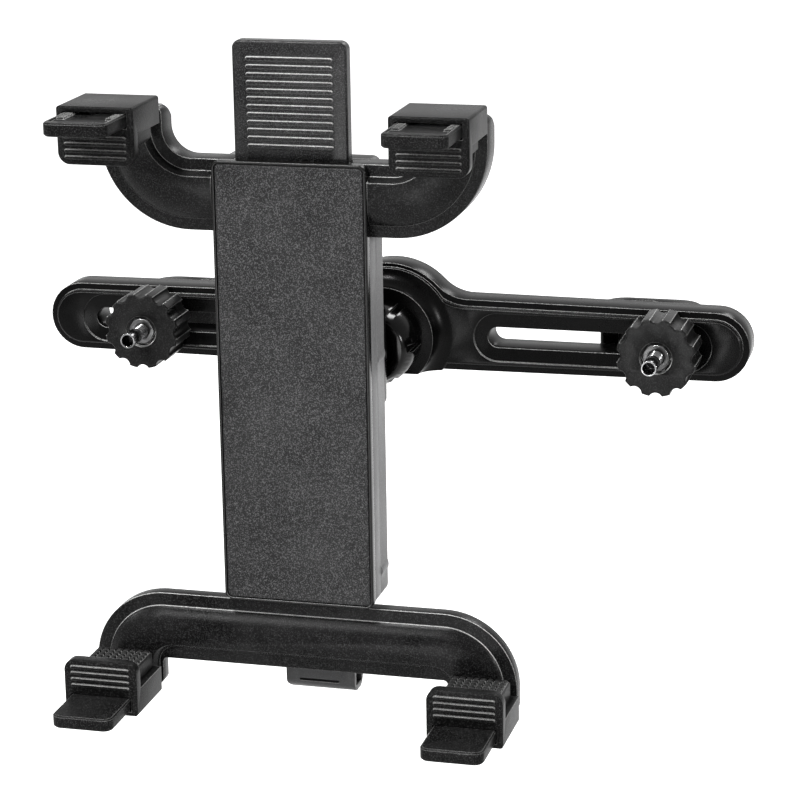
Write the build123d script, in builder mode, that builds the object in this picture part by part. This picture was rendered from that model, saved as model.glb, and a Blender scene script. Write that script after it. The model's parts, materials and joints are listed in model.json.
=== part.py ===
from build123d import *
import os
from math import sqrt

# Headrest tablet mount, in millimetres.
# X runs to the right as the rear passenger sees it, Y away from the passenger, Z up.
# The origin is midway between the two headrest posts, at the middle height of the bar.

# Headrest posts
post_radius = 6.0
post_gap = 0.2

# Support bar
bar_thickness = 12.5
bar_half_length = 117.8
bar_end_radius = 11.2
bar_mid_radius = 12.0
hub_radius = 22.8
hub_blend_radius = 14.0
bar_panel_step = 1.8
bar_panel_inset = 2.2
slot_half_height = 3.4
slot_inner = 33.1
slot_end_margin = 16.5
track_margin = 4.6
track_depth = 0.7
boss_radius = 16.5
boss_height = 6.4
boss_flare = 5.0

# Rest places of the two carriages, from the outer end of their slot
right_rest = 10.7
left_rest = 21.3
post_from_stud = 10.5

# Ball joint
ball_radius = 7.5
ball_reach = 13.4
ball_clearance = 0.08
liner_thickness = 1.05
rear_liner_start = 32
rear_liner_arc = 48
front_liner_start = -34
front_liner_arc = 26
collar_wall = 1.6
collar_lip = 2.6
collar_slit = 1.2
nut_radius = 13.0
nut_front_radius = 11.2
nut_reach = 9.0
nut_seat_reach = 6.0
nut_notch = 1.3
nut_notch_width = 2.4
nut_lobes = 6
thread_clearance = 0.06
neck_radius = 4.0
neck_reach = 15.6
neck_plate_width = 18.6
neck_plate_height = 36.0
neck_plate_thickness = 3.0
neck_screw_spacing = 25.0
ball_offset_x = 17.7
ball_offset_z = 6.7

# Spine of the cradle
spine_width = 49.0
spine_height = 142.4
rear_depth = 10.0
front_depth = 6.7
cover_depth = 3.3
cover_overhang = 0.2
spine_corner = 2.6
rear_wall = 2.0
pad_rim = 0.8
pad_thickness = 1.0
pad_recess = 1.2
pad_gap = 0.2
seam_gap = 0.05
spine_screw_inset = 3.0
top_screw_drop = 11.2
middle_screw_rise = 8.0
low_screw_rise = 9.2

# Slide bar and its channel
slide_width = 36.4
slide_thickness = 5.0
slide_clearance = 0.2
tongue_reach = 36.9
tongue_corner = 2.6
rib_count = 12
rib_pitch = 2.45
rib_length = 27.4
rib_width = 1.2
rib_height = 0.5
first_rib_drop = 5.6
slide_travel = 38.0
channel_floor = 1.5
peg_x = 8.0
peg_radius = 1.0
peg_slot_width = 5.0

# Return springs
spring_radius = 2.1
spring_wire = 0.42
spring_peg_drop = 8.6
spring_rest = 50.0
spring_turns = 8

# Arms
arm_height = 22.6
arm_set_back = 2.6
arm_rise = 3.0
arm_step = 1.4
arm_pocket_wall = 2.2
upper_arm_half = 62.0
upper_rim = 3.8
upper_slope = 3.6
upper_pocket_depth = 5.0
upper_leg_width = 20.7
upper_leg_rise = 15.9
upper_leg_bevel = 4.2
upper_outer_radius = 29.0
upper_inner_radius = 9.0
lower_arm_half = 70.4
lower_arm_height = 22.4
lower_arm_thickness = 4.6
lower_rim = 4.3
lower_slope = 3.1
lower_pocket_depth = 2.6
lower_leg_width = 22.6
lower_panel_overlap = 3.0
lower_leg_drop = 9.5
lower_outer_radius = 24.0
lower_inner_radius = 1.5
lower_arm_gap = 1.0
leg_corner = 2.5

# Clamps on their rails
clamp_width = 24.4
clamp_depth = 23.4
clamp_base = 8.5
clamp_lip = 4.0
clamp_height = 17.8
clamp_roof = 1.6
upper_clamp_inset = 10.5
lower_clamp_inset = 10.8
upper_clamp_proud = 4.7
lower_clamp_proud = 0.8
upper_clamp_set = 4.4
lower_clamp_set = 0.5
rail_width = 20.0
rail_root_width = 15.0
rail_thickness = 4.2
upper_rail_reach = 46.0
lower_rail_reach = 42.4
rail_root = 6.0
rail_drop = 4.6
rail_knee = 3.9
pin_depth = 1.0
pin_radius = 1.0
rail_clearance = 0.25
rail_corner = 3.2
rail_bead = 3.2
tooth_pitch = 1.8
tooth_count = 12
tooth_depth = 0.8
tooth_width = 2.6
lip_corner = 3.8
grip_width = 19.0
grip_thickness = 4.6
grip_ridge = 1.1
grip_columns = 7
grip_rows = 6
grip_peg_radius = 1.6
grip_peg_depth = 1.4
front_rib_count = 4

# Hooks, studs and knobs
hook_half_height = 8.4
hook_wall = 4.0
hook_outer = 9.0
hook_liner = 1.0
hook_tip_wall = 6.6
hook_tip_front = -1.0
hook_bar_gap = 0.3
guide_half_length = 4.5
guide_depth = 9.0
guide_clearance = 0.2
stud_radius = 2.45
stud_bore = 1.7
stud_bore_depth = 9.0
stud_tip = 12.9
fit_clearance = 0.05
washer_radius = 7.7
washer_thickness = 1.0
knob_radius = 12.6
knob_depth = 14.6
knob_gap = 0.2
knob_scallops = 12
scallop_radius = 2.3
scallop_depth = 1.3
knob_nut_flats = 8.0
knob_nut_thickness = 4.0
knob_recess_radius = 5.1
knob_recess_depth = 0.9
nut_proud = 0.5

# Screws
screw_radius = 1.2
screw_head_radius = 2.6
screw_head_depth = 1.8

# Tab behind the lower arm
tab_width = 23.0
tab_sheet = 1.8
tab_depth = 10.0
tab_drop = 8.9
tab_lap = 8.2
tab_x = 4.2
tab_corner = 3.0
tab_slit_length = 13.4
tab_slit_height = 0.9

# Places that follow from the sizes above
slot_outer = bar_half_length - slot_end_margin
right_reach = slot_outer - right_rest
left_reach = slot_outer - left_rest
hub_x = (left_reach - right_reach) / 2
bar_rear_y = -(post_radius + post_gap)
bar_front_y = bar_rear_y - bar_thickness
boss_face_y = bar_front_y - boss_height
ball_y = bar_front_y - ball_reach
spine_rear_y = ball_y - neck_reach
seam_y = spine_rear_y - rear_depth
channel_front_y = seam_y - front_depth
cover_front_y = channel_front_y - cover_depth
slide_front_y = channel_front_y + rib_height + 1.5 * slide_clearance
slide_rear_y = slide_front_y + slide_thickness
floor_front_y = slide_rear_y + slide_clearance
floor_rear_y = floor_front_y + channel_floor
arm_rear_y = seam_y + arm_set_back
arm_base_y = channel_front_y
arm_panel_y = arm_base_y - arm_rise
lower_rear_y = arm_base_y + lower_arm_thickness
cradle_x = hub_x - ball_offset_x
cradle_z = -ball_offset_z
spine_top = cradle_z + spine_height / 2
spine_bottom = cradle_z - spine_height / 2
upper_arm_top = spine_top
upper_arm_bottom = upper_arm_top - arm_height
lower_arm_top = spine_bottom - lower_arm_gap
lower_arm_bottom = lower_arm_top - lower_arm_height
chamber_top = upper_arm_bottom - rear_wall
chamber_bottom = spine_bottom + rear_wall
spring_peg_z = chamber_top - spring_peg_drop
slide_peg_z = spring_peg_z - spring_rest
upper_leg_top = spine_height / 2 + upper_leg_rise
lower_leg_end = cradle_z - lower_arm_bottom + lower_leg_drop
upper_clamp_x = upper_arm_half - upper_clamp_inset
lower_clamp_x = lower_arm_half - lower_clamp_inset
upper_clamp_outer = upper_leg_top + upper_clamp_proud
lower_clamp_outer = lower_leg_end + lower_clamp_proud
half_spine = spine_width / 2
channel_half = slide_width / 2 + slide_clearance
seat_radius = ball_radius + ball_clearance + liner_thickness + ball_clearance
collar_radius = seat_radius + collar_wall
collar_front_y = ball_y - collar_lip
track_floor_y = bar_front_y + track_depth
washer_rear_y = track_floor_y - fit_clearance
washer_front_y = washer_rear_y - washer_thickness
knob_rear_y = washer_front_y - knob_gap
knob_front_y = knob_rear_y - knob_depth
stud_tip_y = knob_front_y - stud_tip
hook_pocket = post_radius + post_gap + hook_liner
hook_rear_y = hook_pocket + hook_wall
hook_front_y = bar_rear_y + hook_bar_gap

pieces = []


def facing(y, x=0.0, z=0.0):
    """Plane at depth y that looks at the passenger: local x is X, local y is Z."""
    return Plane(origin=(x, y, z), x_dir=(1, 0, 0), z_dir=(0, -1, 0))


def from_behind(y, x=0.0, z=0.0):
    """Plane at depth y that looks away from the passenger."""
    return Plane(origin=(x, y, z), x_dir=(-1, 0, 0), z_dir=(0, 1, 0))


def from_side(x, y=0.0, z=0.0):
    """Plane across X: local x is Y, local y is Z."""
    return Plane(origin=(x, y, z), x_dir=(0, 1, 0), z_dir=(1, 0, 0))


def keep(part, label):
    """Label a finished piece and put it on the list of pieces."""
    part.label = label
    pieces.append(part)


# Outline of the support bar, hub bulge on the upper side only
with BuildSketch() as bar_outline:
    end_x = bar_half_length - bar_end_radius
    with Locations((-end_x, 0), (end_x, 0)):
        Circle(bar_end_radius)
    Circle(bar_mid_radius)
    make_hull()
    with BuildSketch(mode=Mode.PRIVATE) as hub_cap:
        Circle(hub_radius)
        with Locations((0, -hub_radius)):
            Rectangle(2 * hub_radius, 2 * hub_radius, mode=Mode.SUBTRACT)
    add(hub_cap.sketch)
    hub_corners = bar_outline.vertices().filter_by(lambda v: v.Y > 0 and abs(v.X) < hub_radius)
    fillet(hub_corners, hub_blend_radius)

# Boss of the hub: a round platform with a hollow flare
with BuildPart() as hub_boss:
    with BuildSketch(Plane.XY):
        with BuildLine():
            foot = (hub_x + boss_radius + boss_flare, bar_front_y)
            rim = (hub_x + boss_radius, boss_face_y)
            Polyline(foot, (foot[0], bar_rear_y), (hub_x, bar_rear_y), (hub_x, boss_face_y), rim)
            RadiusArc(rim, foot, (boss_flare**2 + boss_height**2) / (2 * boss_flare))
        make_face()
    revolve(axis=Axis((hub_x, 0, 0), (0, 1, 0)))
    with BuildSketch(facing(bar_rear_y, hub_x)):
        add(bar_outline.sketch)
    extrude(amount=bar_thickness + boss_height, mode=Mode.INTERSECT)

# Support bar with its slots, track recesses and the split collar of the ball joint
with BuildPart() as support_bar:
    with BuildSketch(facing(bar_rear_y, hub_x)):
        add(bar_outline.sketch)
    extrude(amount=bar_thickness - bar_panel_step)
    with BuildSketch(facing(bar_front_y + bar_panel_step, hub_x)):
        add(bar_outline.sketch)
        offset(amount=-bar_panel_inset, mode=Mode.REPLACE)
    extrude(amount=bar_panel_step)
    panel_edges = support_bar.faces().sort_by(Axis.Y)[0].edges()
    chamfer(panel_edges, 0.6)
    add(hub_boss.part)
    slot_middle = (slot_inner + slot_outer) / 2
    slot_length = slot_outer - slot_inner
    with BuildSketch(facing(bar_front_y, hub_x)):
        with Locations((-slot_middle, 0), (slot_middle, 0)):
            SlotOverall(slot_length + 2 * track_margin, 2 * (slot_half_height + track_margin))
    extrude(amount=-track_depth, mode=Mode.SUBTRACT)
    with BuildSketch(facing(bar_front_y, hub_x)):
        with Locations((-slot_middle, 0), (slot_middle, 0)):
            SlotOverall(slot_length, 2 * slot_half_height)
    extrude(amount=-bar_thickness, mode=Mode.SUBTRACT)
    with BuildSketch(facing(boss_face_y, hub_x)):
        Circle(collar_radius)
    extrude(amount=boss_face_y - collar_front_y)
    with BuildSketch(facing(ball_y, hub_x)):
        Circle(seat_radius)
    extrude(amount=ball_y - collar_front_y, mode=Mode.SUBTRACT)
    with Locations((hub_x, ball_y, 0)):
        Sphere(seat_radius, mode=Mode.SUBTRACT)
    with BuildSketch(facing(collar_front_y, hub_x)):
        Rectangle(2 * collar_radius, collar_slit)
        Rectangle(collar_slit, 2 * collar_radius)
        Circle(seat_radius - collar_wall, mode=Mode.SUBTRACT)
    extrude(amount=collar_front_y - boss_face_y + 1.0, mode=Mode.SUBTRACT)
keep(support_bar.part, "support_bar")


def liner(start_angle, arc):
    """Spherical nylon seat between two angles above the plane of the ball's equator."""
    centre = (hub_x, ball_y)
    inner = ball_radius + ball_clearance
    with BuildPart() as shell:
        with BuildSketch(Plane.XY):
            with BuildLine():
                outer_arc = CenterArc(centre, inner + liner_thickness, start_angle, arc)
                inner_arc = CenterArc(centre, inner, start_angle, arc)
                Line(outer_arc @ 0, inner_arc @ 0)
                Line(outer_arc @ 1, inner_arc @ 1)
            make_face()
        revolve(axis=Axis((hub_x, 0, 0), (0, 1, 0)))
    return shell.part


keep(liner(rear_liner_start, rear_liner_arc), "rear_liner")
keep(liner(front_liner_start, front_liner_arc), "front_liner")

# Locking nut on the split collar
with BuildPart() as locking_nut:
    nut_front_y = ball_y - nut_reach
    nut_rear_y = boss_face_y - 0.4
    seat_front_y = ball_y - nut_seat_reach
    seat_front_radius = sqrt(seat_radius**2 - nut_seat_reach**2)
    bore_radius = collar_radius + thread_clearance
    step_y = collar_front_y - 0.3
    step_radius = sqrt(seat_radius**2 - (ball_y - step_y) ** 2)
    with BuildSketch(Plane.XY):
        with BuildLine():
            Polyline(
                (hub_x + seat_front_radius, seat_front_y),
                (hub_x + seat_front_radius + 1.8, nut_front_y),
                (hub_x + nut_front_radius - 0.8, nut_front_y),
                (hub_x + nut_front_radius, nut_front_y + 0.8),
                (hub_x + nut_radius, nut_front_y + 5.0),
                (hub_x + nut_radius, nut_rear_y - 0.6),
                (hub_x + nut_radius - 0.6, nut_rear_y),
                (hub_x + bore_radius, nut_rear_y),
                (hub_x + bore_radius, step_y),
                (hub_x + step_radius, step_y),
            )
            RadiusArc((hub_x + step_radius, step_y), (hub_x + seat_front_radius, seat_front_y), seat_radius)
        make_face()
    revolve(axis=Axis((hub_x, 0, 0), (0, 1, 0)))
    with BuildSketch(facing(nut_front_y, hub_x)):
        with PolarLocations(nut_radius, nut_lobes):
            Rectangle(2 * nut_notch, nut_notch_width)
    extrude(amount=nut_front_y - nut_rear_y, mode=Mode.SUBTRACT)
keep(locking_nut.part, "locking_nut")

# Ball stud: ball, waisted neck and the plate that is screwed to the spine
neck_plate_x = cradle_x + half_spine - neck_plate_width / 2 - 0.4
plate_face_y = spine_rear_y + neck_plate_thickness
with BuildPart() as ball_stud:
    with BuildSketch(facing(plate_face_y, neck_plate_x)):
        RectangleRounded(neck_plate_width, neck_plate_height, 4.0)
    extrude(amount=neck_plate_thickness)
    chamfer(ball_stud.faces().sort_by(Axis.Y)[-1].edges(), 0.6)
    with BuildSketch(Plane.XY):
        with BuildLine():
            flare = 2.6
            Polyline(
                (hub_x, ball_y - 1.0),
                (hub_x + neck_radius, ball_y - 1.0),
                (hub_x + neck_radius, plate_face_y + flare),
            )
            RadiusArc(
                (hub_x + neck_radius, plate_face_y + flare),
                (hub_x + neck_radius + flare, plate_face_y),
                -flare,
            )
            Polyline(
                (hub_x + neck_radius + flare, plate_face_y),
                (hub_x + neck_radius + flare, plate_face_y - 1.0),
                (hub_x, plate_face_y - 1.0),
                (hub_x, ball_y - 1.0),
            )
        make_face()
    revolve(axis=Axis((hub_x, 0, 0), (0, 1, 0)))
    with Locations((hub_x, ball_y, 0)):
        Sphere(ball_radius)
    neck_screws = [(neck_plate_x, s * neck_screw_spacing / 2) for s in (1, -1)]
    for x, z in neck_screws:
        with Locations(from_behind(plate_face_y, x, z)):
            CounterBoreHole(screw_radius + fit_clearance, screw_head_radius + fit_clearance, screw_head_depth)
keep(ball_stud.part, "ball_stud")


def screws(places, head_y, length, label):
    """Group of screws whose heads sink into a face at head_y and whose shanks run forward."""
    with BuildPart() as group:
        with BuildSketch(facing(head_y)):
            with Locations(*places):
                Circle(screw_head_radius)
        extrude(amount=screw_head_depth - fit_clearance)
        with BuildSketch(facing(head_y)):
            with Locations(*places):
                Circle(screw_radius)
        extrude(amount=length)
        with BuildSketch(facing(head_y)):
            with Locations(*places):
                Rectangle(2.8, 0.7)
                Rectangle(0.7, 2.8)
        extrude(amount=0.9, mode=Mode.SUBTRACT)
    keep(group.part, label)


screws(neck_screws, plate_face_y - fit_clearance, 8.0, "mount_screws")

# Rear housing with its spring chamber and screw bosses
screw_heights = (spine_top - top_screw_drop, cradle_z + middle_screw_rise, spine_bottom + low_screw_rise)
screw_half = half_spine - spine_screw_inset
spine_screws = [(cradle_x + s * screw_half, z) for s in (-1, 1) for z in screw_heights]
chamber_half = half_spine - rear_wall
with BuildPart() as rear_housing:
    with BuildSketch(facing(spine_rear_y, cradle_x, cradle_z)):
        RectangleRounded(spine_width, spine_height, spine_corner)
    extrude(amount=rear_depth)
    rear_edges = rear_housing.faces().sort_by(Axis.Y)[-1].edges()
    fillet(rear_edges, 1.6)
    with BuildSketch(facing(seam_y, cradle_x, (upper_arm_top + upper_arm_bottom) / 2)):
        Rectangle(spine_width + 1.0, arm_height + 2 * seam_gap)
    extrude(amount=-(arm_set_back + seam_gap), mode=Mode.SUBTRACT)
    with BuildSketch(facing(seam_y, cradle_x, (chamber_top + chamber_bottom) / 2)):
        RectangleRounded(2 * chamber_half, chamber_top - chamber_bottom, 1.5)
    extrude(amount=-(rear_depth - rear_wall), mode=Mode.SUBTRACT)
    boss_root_y = spine_rear_y - rear_wall + 0.5
    with BuildSketch(facing(boss_root_y)):
        with Locations(*spine_screws[1:3], *spine_screws[4:6]):
            Circle(3.4)
        with Locations(*neck_screws):
            Circle(2.6)
    extrude(amount=boss_root_y - floor_rear_y - seam_gap)
    with BuildSketch(facing(boss_root_y)):
        with Locations((cradle_x - peg_x, spring_peg_z), (cradle_x + peg_x, spring_peg_z)):
            Circle(peg_radius)
    extrude(amount=boss_root_y - floor_rear_y - 1.0)
    for x, z in spine_screws:
        with Locations(from_behind(spine_rear_y, x, z)):
            CounterBoreHole(screw_radius + fit_clearance, screw_head_radius + fit_clearance, 2.2)
    for x, z in neck_screws:
        with Locations(from_behind(spine_rear_y, x, z)):
            Hole(screw_radius + fit_clearance, depth=5.4)
keep(rear_housing.part, "rear_housing")
screws(spine_screws, spine_rear_y - 0.4, 13.6, "housing_screws")

# Front housing: the channel of the slide bar
channel_top = upper_arm_bottom - seam_gap
with BuildPart() as front_housing:
    with BuildSketch(facing(seam_y - seam_gap, cradle_x, (channel_top + spine_bottom) / 2)):
        Rectangle(spine_width, channel_top - spine_bottom)
    extrude(amount=front_depth - 2 * seam_gap)
    fillet(front_housing.edges().filter_by(Axis.Y).group_by(Axis.Z)[0], spine_corner)
    with BuildSketch(facing(floor_rear_y, cradle_x, (chamber_top + chamber_bottom) / 2)):
        RectangleRounded(2 * chamber_half - 0.5, chamber_top - chamber_bottom - 0.5, 1.5)
    extrude(amount=floor_rear_y - seam_y + 2 * seam_gap)
    with BuildSketch(facing(floor_front_y, cradle_x, cradle_z)):
        Rectangle(2 * channel_half, spine_height + 2.0)
    extrude(amount=floor_front_y - channel_front_y, mode=Mode.SUBTRACT)
    slot_top = slide_peg_z + peg_slot_width / 2
    slot_run = slide_travel + peg_slot_width
    with BuildSketch(facing(floor_front_y, cradle_x, slot_top - slot_run / 2)):
        with Locations((-peg_x, 0), (peg_x, 0)):
            SlotOverall(slot_run, peg_slot_width, rotation=90)
    extrude(amount=-channel_floor, mode=Mode.SUBTRACT)
    with BuildSketch(facing(floor_rear_y)):
        with Locations(*spine_screws[1:3], *spine_screws[4:6]):
            Circle(screw_radius + fit_clearance)
    extrude(amount=floor_rear_y - channel_front_y - 1.0, mode=Mode.SUBTRACT)
keep(front_housing.part, "front_housing")

# Front cover with the recess of the pad
cover_width = spine_width + 2 * cover_overhang
cover_height = spine_height + 2 * cover_overhang
with BuildPart() as front_cover:
    with BuildSketch(facing(channel_front_y - seam_gap, cradle_x, cradle_z)):
        RectangleRounded(cover_width, cover_height, spine_corner)
    extrude(amount=cover_depth)
    chamfer(front_cover.faces().sort_by(Axis.Y)[0].edges(), 0.25)
    with BuildSketch(facing(cover_front_y - seam_gap, cradle_x, cradle_z)):
        RectangleRounded(cover_width - 2 * pad_rim, cover_height - 2 * pad_rim, spine_corner - pad_rim)
    extrude(amount=-pad_recess, mode=Mode.SUBTRACT)
keep(front_cover.part, "front_cover")

with BuildPart() as front_pad:
    pad_margin = 2 * (pad_rim + pad_gap)
    with BuildSketch(facing(cover_front_y + pad_recess - 2 * seam_gap, cradle_x, cradle_z)):
        pad_corner = spine_corner - pad_rim - pad_gap
        RectangleRounded(cover_width - pad_margin, cover_height - pad_margin, pad_corner)
    extrude(amount=pad_thickness)
    chamfer(front_pad.faces().sort_by(Axis.Y)[0].edges(), 0.3)
keep(front_pad.part, "front_pad")

# Slide bar, its upper end the ribbed thumb tongue
slide_foot = lower_arm_bottom + tab_lap + 0.4
tongue_top = spine_top + tongue_reach
slide_shoulder = lower_arm_top + 0.4
slide_screw_z = slide_foot + 3.5
slide_screws = [(cradle_x + s * 11.0, slide_screw_z) for s in (-1, 1)]
with BuildPart() as slide_bar:
    with BuildSketch(facing(slide_rear_y, cradle_x, (tongue_top + slide_shoulder) / 2)):
        Rectangle(slide_width, tongue_top - slide_shoulder)
    extrude(amount=slide_thickness)
    fillet(slide_bar.edges().filter_by(Axis.Y).group_by(Axis.Z)[-1], tongue_corner)
    tongue_edges = slide_bar.faces().filter_by(Axis.Y).edges().filter_by(
        lambda e: e.bounding_box().max.Z > tongue_top - tongue_corner - 1.0
    )
    fillet(tongue_edges, 0.8)
    with BuildSketch(facing(slide_rear_y, cradle_x, (slide_shoulder + slide_foot) / 2)):
        Rectangle(slide_width - 2.0, slide_shoulder - slide_foot)
    extrude(amount=slide_thickness - 1.2)
    with BuildSketch(facing(slide_front_y, cradle_x, tongue_top - first_rib_drop)):
        for i in range(rib_count):
            with Locations((0, -i * rib_pitch)):
                SlotOverall(rib_length, rib_width)
    extrude(amount=rib_height)
    with BuildSketch(facing(floor_rear_y + 5.5, cradle_x, slide_peg_z)):
        with Locations((-peg_x, 0), (peg_x, 0)):
            Circle(peg_radius)
    extrude(until=Until.NEXT)
    for x, z in slide_screws:
        with Locations(from_behind(slide_rear_y, x, z)):
            CounterBoreHole(screw_radius + fit_clearance, screw_head_radius + fit_clearance, screw_head_depth)
keep(slide_bar.part, "slide_bar")


def spring(x, label):
    """Extension spring along Z with an eye round a peg at each end."""
    spring_y = floor_rear_y + 1.2 + spring_radius + spring_wire
    eye_slack = spring_radius - spring_wire - peg_radius - fit_clearance
    top = spring_peg_z - eye_slack
    bottom = slide_peg_z + eye_slack
    run = top - bottom
    with BuildPart() as coil:
        with BuildLine(Plane(origin=(x, spring_y, bottom))):
            turn_line = Helix(run / spring_turns, run, spring_radius)
        with BuildSketch(Plane(origin=turn_line @ 0, z_dir=turn_line % 0)):
            Circle(spring_wire)
        sweep(path=turn_line, is_frenet=True)
        with Locations(facing(spring_y, x, bottom), facing(spring_y, x, top)):
            Torus(spring_radius, spring_wire)
    keep(coil.part, label)


spring(cradle_x - peg_x, "left_spring")
spring(cradle_x + peg_x, "right_spring")


def arm_outline(half, leg_width, crown, height, leg_end, outer_radius, inner_radius, end_radius=0.0):
    """U-shaped outline with its legs upwards, its closed side at -height below the crown."""
    with BuildSketch() as outline:
        with BuildLine():
            Polyline(
                (-half, leg_end),
                (-half, crown - height),
                (half, crown - height),
                (half, leg_end),
                (half - leg_width, leg_end),
                (half - leg_width, crown),
                (leg_width - half, crown),
                (leg_width - half, leg_end),
                close=True,
            )
        make_face()
        corners = outline.vertices()
        fillet(corners.filter_by(lambda v: v.Y < crown - 1.0), outer_radius)
        fillet(outline.vertices().filter_by(lambda v: abs(v.Y - crown) < 0.01), inner_radius)
        if end_radius > 0:
            fillet(outline.vertices().filter_by(lambda v: abs(v.Y - leg_end) < 0.01), end_radius)
    return outline.sketch


def arm_body(outlines, planes, is_outer, is_inner, thickness, rim, slope, pocket):
    """Arm with a raised front panel: gentle slope on the outer side, a step on the inner side."""
    outline, inner_outline, panel_outline = outlines
    plane_base, plane_rear = planes
    with BuildPart() as body:
        with BuildSketch(plane_rear):
            add(outline)
        extrude(amount=thickness)
        with BuildSketch(plane_base):
            add(panel_outline)
            offset(amount=-rim, mode=Mode.REPLACE)
        extrude(amount=arm_rise)
        panel = body.faces().sort_by(Axis.Y)[0]
        slope_edges = panel.edges().filter_by(is_outer)
        chamfer(slope_edges, slope, length2=arm_rise - 0.3, reference=panel)
        panel = body.faces().sort_by(Axis.Y)[0]
        step_edges = panel.edges().filter_by(is_inner)
        chamfer(step_edges, arm_step, length2=arm_rise - 0.3, reference=panel)
        with BuildSketch(plane_rear):
            add(inner_outline)
            offset(amount=-arm_pocket_wall, mode=Mode.REPLACE)
        extrude(amount=pocket, mode=Mode.SUBTRACT)
    return body.part


# Upper arm, fixed between the housings behind the channel
upper_sizes = (
    upper_arm_half,
    upper_leg_width,
    upper_arm_top - cradle_z,
    arm_height,
    upper_leg_top,
    upper_outer_radius,
    upper_inner_radius,
)
upper_outline = arm_outline(*upper_sizes, leg_corner)
upper_plain = arm_outline(*upper_sizes)
arm_thickness = arm_rear_y - arm_base_y


def is_outer_upper(edge):
    """True for the panel edges along the outside of the U."""
    middle = edge @ 0.5
    outside = abs(middle.X - cradle_x) > upper_arm_half - upper_leg_width / 2
    below = middle.Z < (upper_arm_top + upper_arm_bottom) / 2
    return (outside or below) and middle.Z < cradle_z + upper_leg_top - upper_rim - 1.0


def is_inner_upper(edge):
    """True for the panel edges along the inside of the U."""
    middle = edge @ 0.5
    inside = abs(middle.X - cradle_x) < upper_arm_half - upper_leg_width / 2
    return inside and middle.Z > (upper_arm_top + upper_arm_bottom) / 2 and middle.Z < leg_end_z


leg_end_z = cradle_z + upper_leg_top - upper_rim - 0.5
with BuildPart() as upper_arm:
    add(
        arm_body(
            (upper_outline, upper_plain, upper_plain),
            (facing(arm_base_y, cradle_x, cradle_z), facing(arm_rear_y, cradle_x, cradle_z)),
            is_outer_upper,
            is_inner_upper,
            arm_thickness,
            upper_rim,
            upper_slope,
            upper_pocket_depth,
        )
    )
    arm_middle_z = (upper_arm_top + upper_arm_bottom) / 2
    with BuildSketch(facing(arm_rear_y, cradle_x, arm_middle_z)):
        Rectangle(spine_width + 4.0, arm_height - 2 * arm_pocket_wall + 0.4)
    extrude(amount=upper_pocket_depth)
    with BuildSketch(facing(floor_front_y, cradle_x, arm_middle_z)):
        Rectangle(2 * channel_half, arm_height + 2.0)
    extrude(amount=20.0, mode=Mode.SUBTRACT)
    with BuildSketch(facing(arm_base_y, cradle_x, arm_middle_z)):
        Rectangle(cover_width + 0.4, arm_height + 2.0)
    extrude(amount=20.0, mode=Mode.SUBTRACT)
    leg_block_top = cradle_z + upper_leg_top
    for side in (-1, 1):
        clamp_x = cradle_x + side * upper_clamp_x
        with BuildSketch(facing(arm_rear_y, clamp_x, leg_block_top - 6.0)):
            Rectangle(upper_leg_width - 3.0, 12.0)
        extrude(amount=arm_thickness)
        rib_spots = [(cradle_x + side * (half_spine + 9.0 + 9.0 * i), arm_middle_z) for i in range(2)]
        with BuildSketch(facing(arm_rear_y - 0.6)):
            with Locations(*rib_spots):
                Rectangle(1.2, arm_height - 3.0)
        extrude(amount=upper_pocket_depth - 0.6)
        rail_top = cradle_z + upper_clamp_outer - clamp_roof - rail_clearance
        rail_mid = rail_top - rail_drop - rail_thickness / 2
        with BuildSketch(facing(arm_panel_y + rail_root + fit_clearance, clamp_x, rail_mid)):
            Rectangle(rail_root_width + 2 * fit_clearance, rail_thickness + 2 * fit_clearance)
        extrude(amount=rail_root + 1.0, mode=Mode.SUBTRACT)
        with BuildSketch(Plane.XY.offset(leg_block_top)):
            with Locations((clamp_x, arm_base_y + pin_depth)):
                Circle(pin_radius + fit_clearance)
        extrude(amount=-9.0, mode=Mode.SUBTRACT)
    with BuildSketch(from_side(cradle_x - upper_arm_half - 1.0)):
        with BuildLine():
            Polyline(
                (arm_rear_y + 1.0, leg_block_top - upper_leg_bevel - 1.0),
                (arm_rear_y + 1.0, leg_block_top + 1.0),
                (arm_rear_y - upper_leg_bevel - 1.0, leg_block_top + 1.0),
                close=True,
            )
        make_face()
    extrude(amount=2 * upper_arm_half + 2.0, mode=Mode.SUBTRACT)
    with BuildSketch(facing(arm_rear_y)):
        with Locations(spine_screws[0], spine_screws[3]):
            Circle(screw_radius + fit_clearance)
    extrude(amount=arm_thickness - 1.0, mode=Mode.SUBTRACT)
keep(upper_arm.part, "upper_arm")


def facing_down(y, x, z):
    """Plane at depth y that looks at the passenger with its local y pointing down."""
    return Plane(origin=(x, y, z), x_dir=(-1, 0, 0), z_dir=(0, -1, 0))


# Lower arm, carried by the slide bar
lower_sizes = (
    cradle_z - lower_arm_bottom,
    lower_arm_height,
    lower_leg_end,
    lower_outer_radius,
    lower_inner_radius,
)
lower_outline = arm_outline(lower_arm_half, lower_leg_width, *lower_sizes, leg_corner)
lower_plain = arm_outline(lower_arm_half, lower_leg_width, *lower_sizes)
lower_panel = arm_outline(lower_arm_half, lower_leg_width + lower_panel_overlap, *lower_sizes)
lower_middle_z = (lower_arm_top + lower_arm_bottom) / 2
lower_leg_z = cradle_z - lower_leg_end


def is_outer_lower(edge):
    """True for the panel edges along the top and the outer sides of the lower arm."""
    middle = edge @ 0.5
    outside = abs(middle.X - cradle_x) > lower_arm_half - lower_leg_width / 2
    return (outside or middle.Z > lower_middle_z) and middle.Z > lower_leg_z + lower_rim + 0.5


def is_inner_lower(edge):
    """True for the panel edges along the inside of the lower arm."""
    middle = edge @ 0.5
    inside = abs(middle.X - cradle_x) < lower_arm_half - lower_leg_width / 2
    return inside and middle.Z < lower_middle_z and middle.Z > lower_leg_z + lower_rim + 0.5


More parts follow.
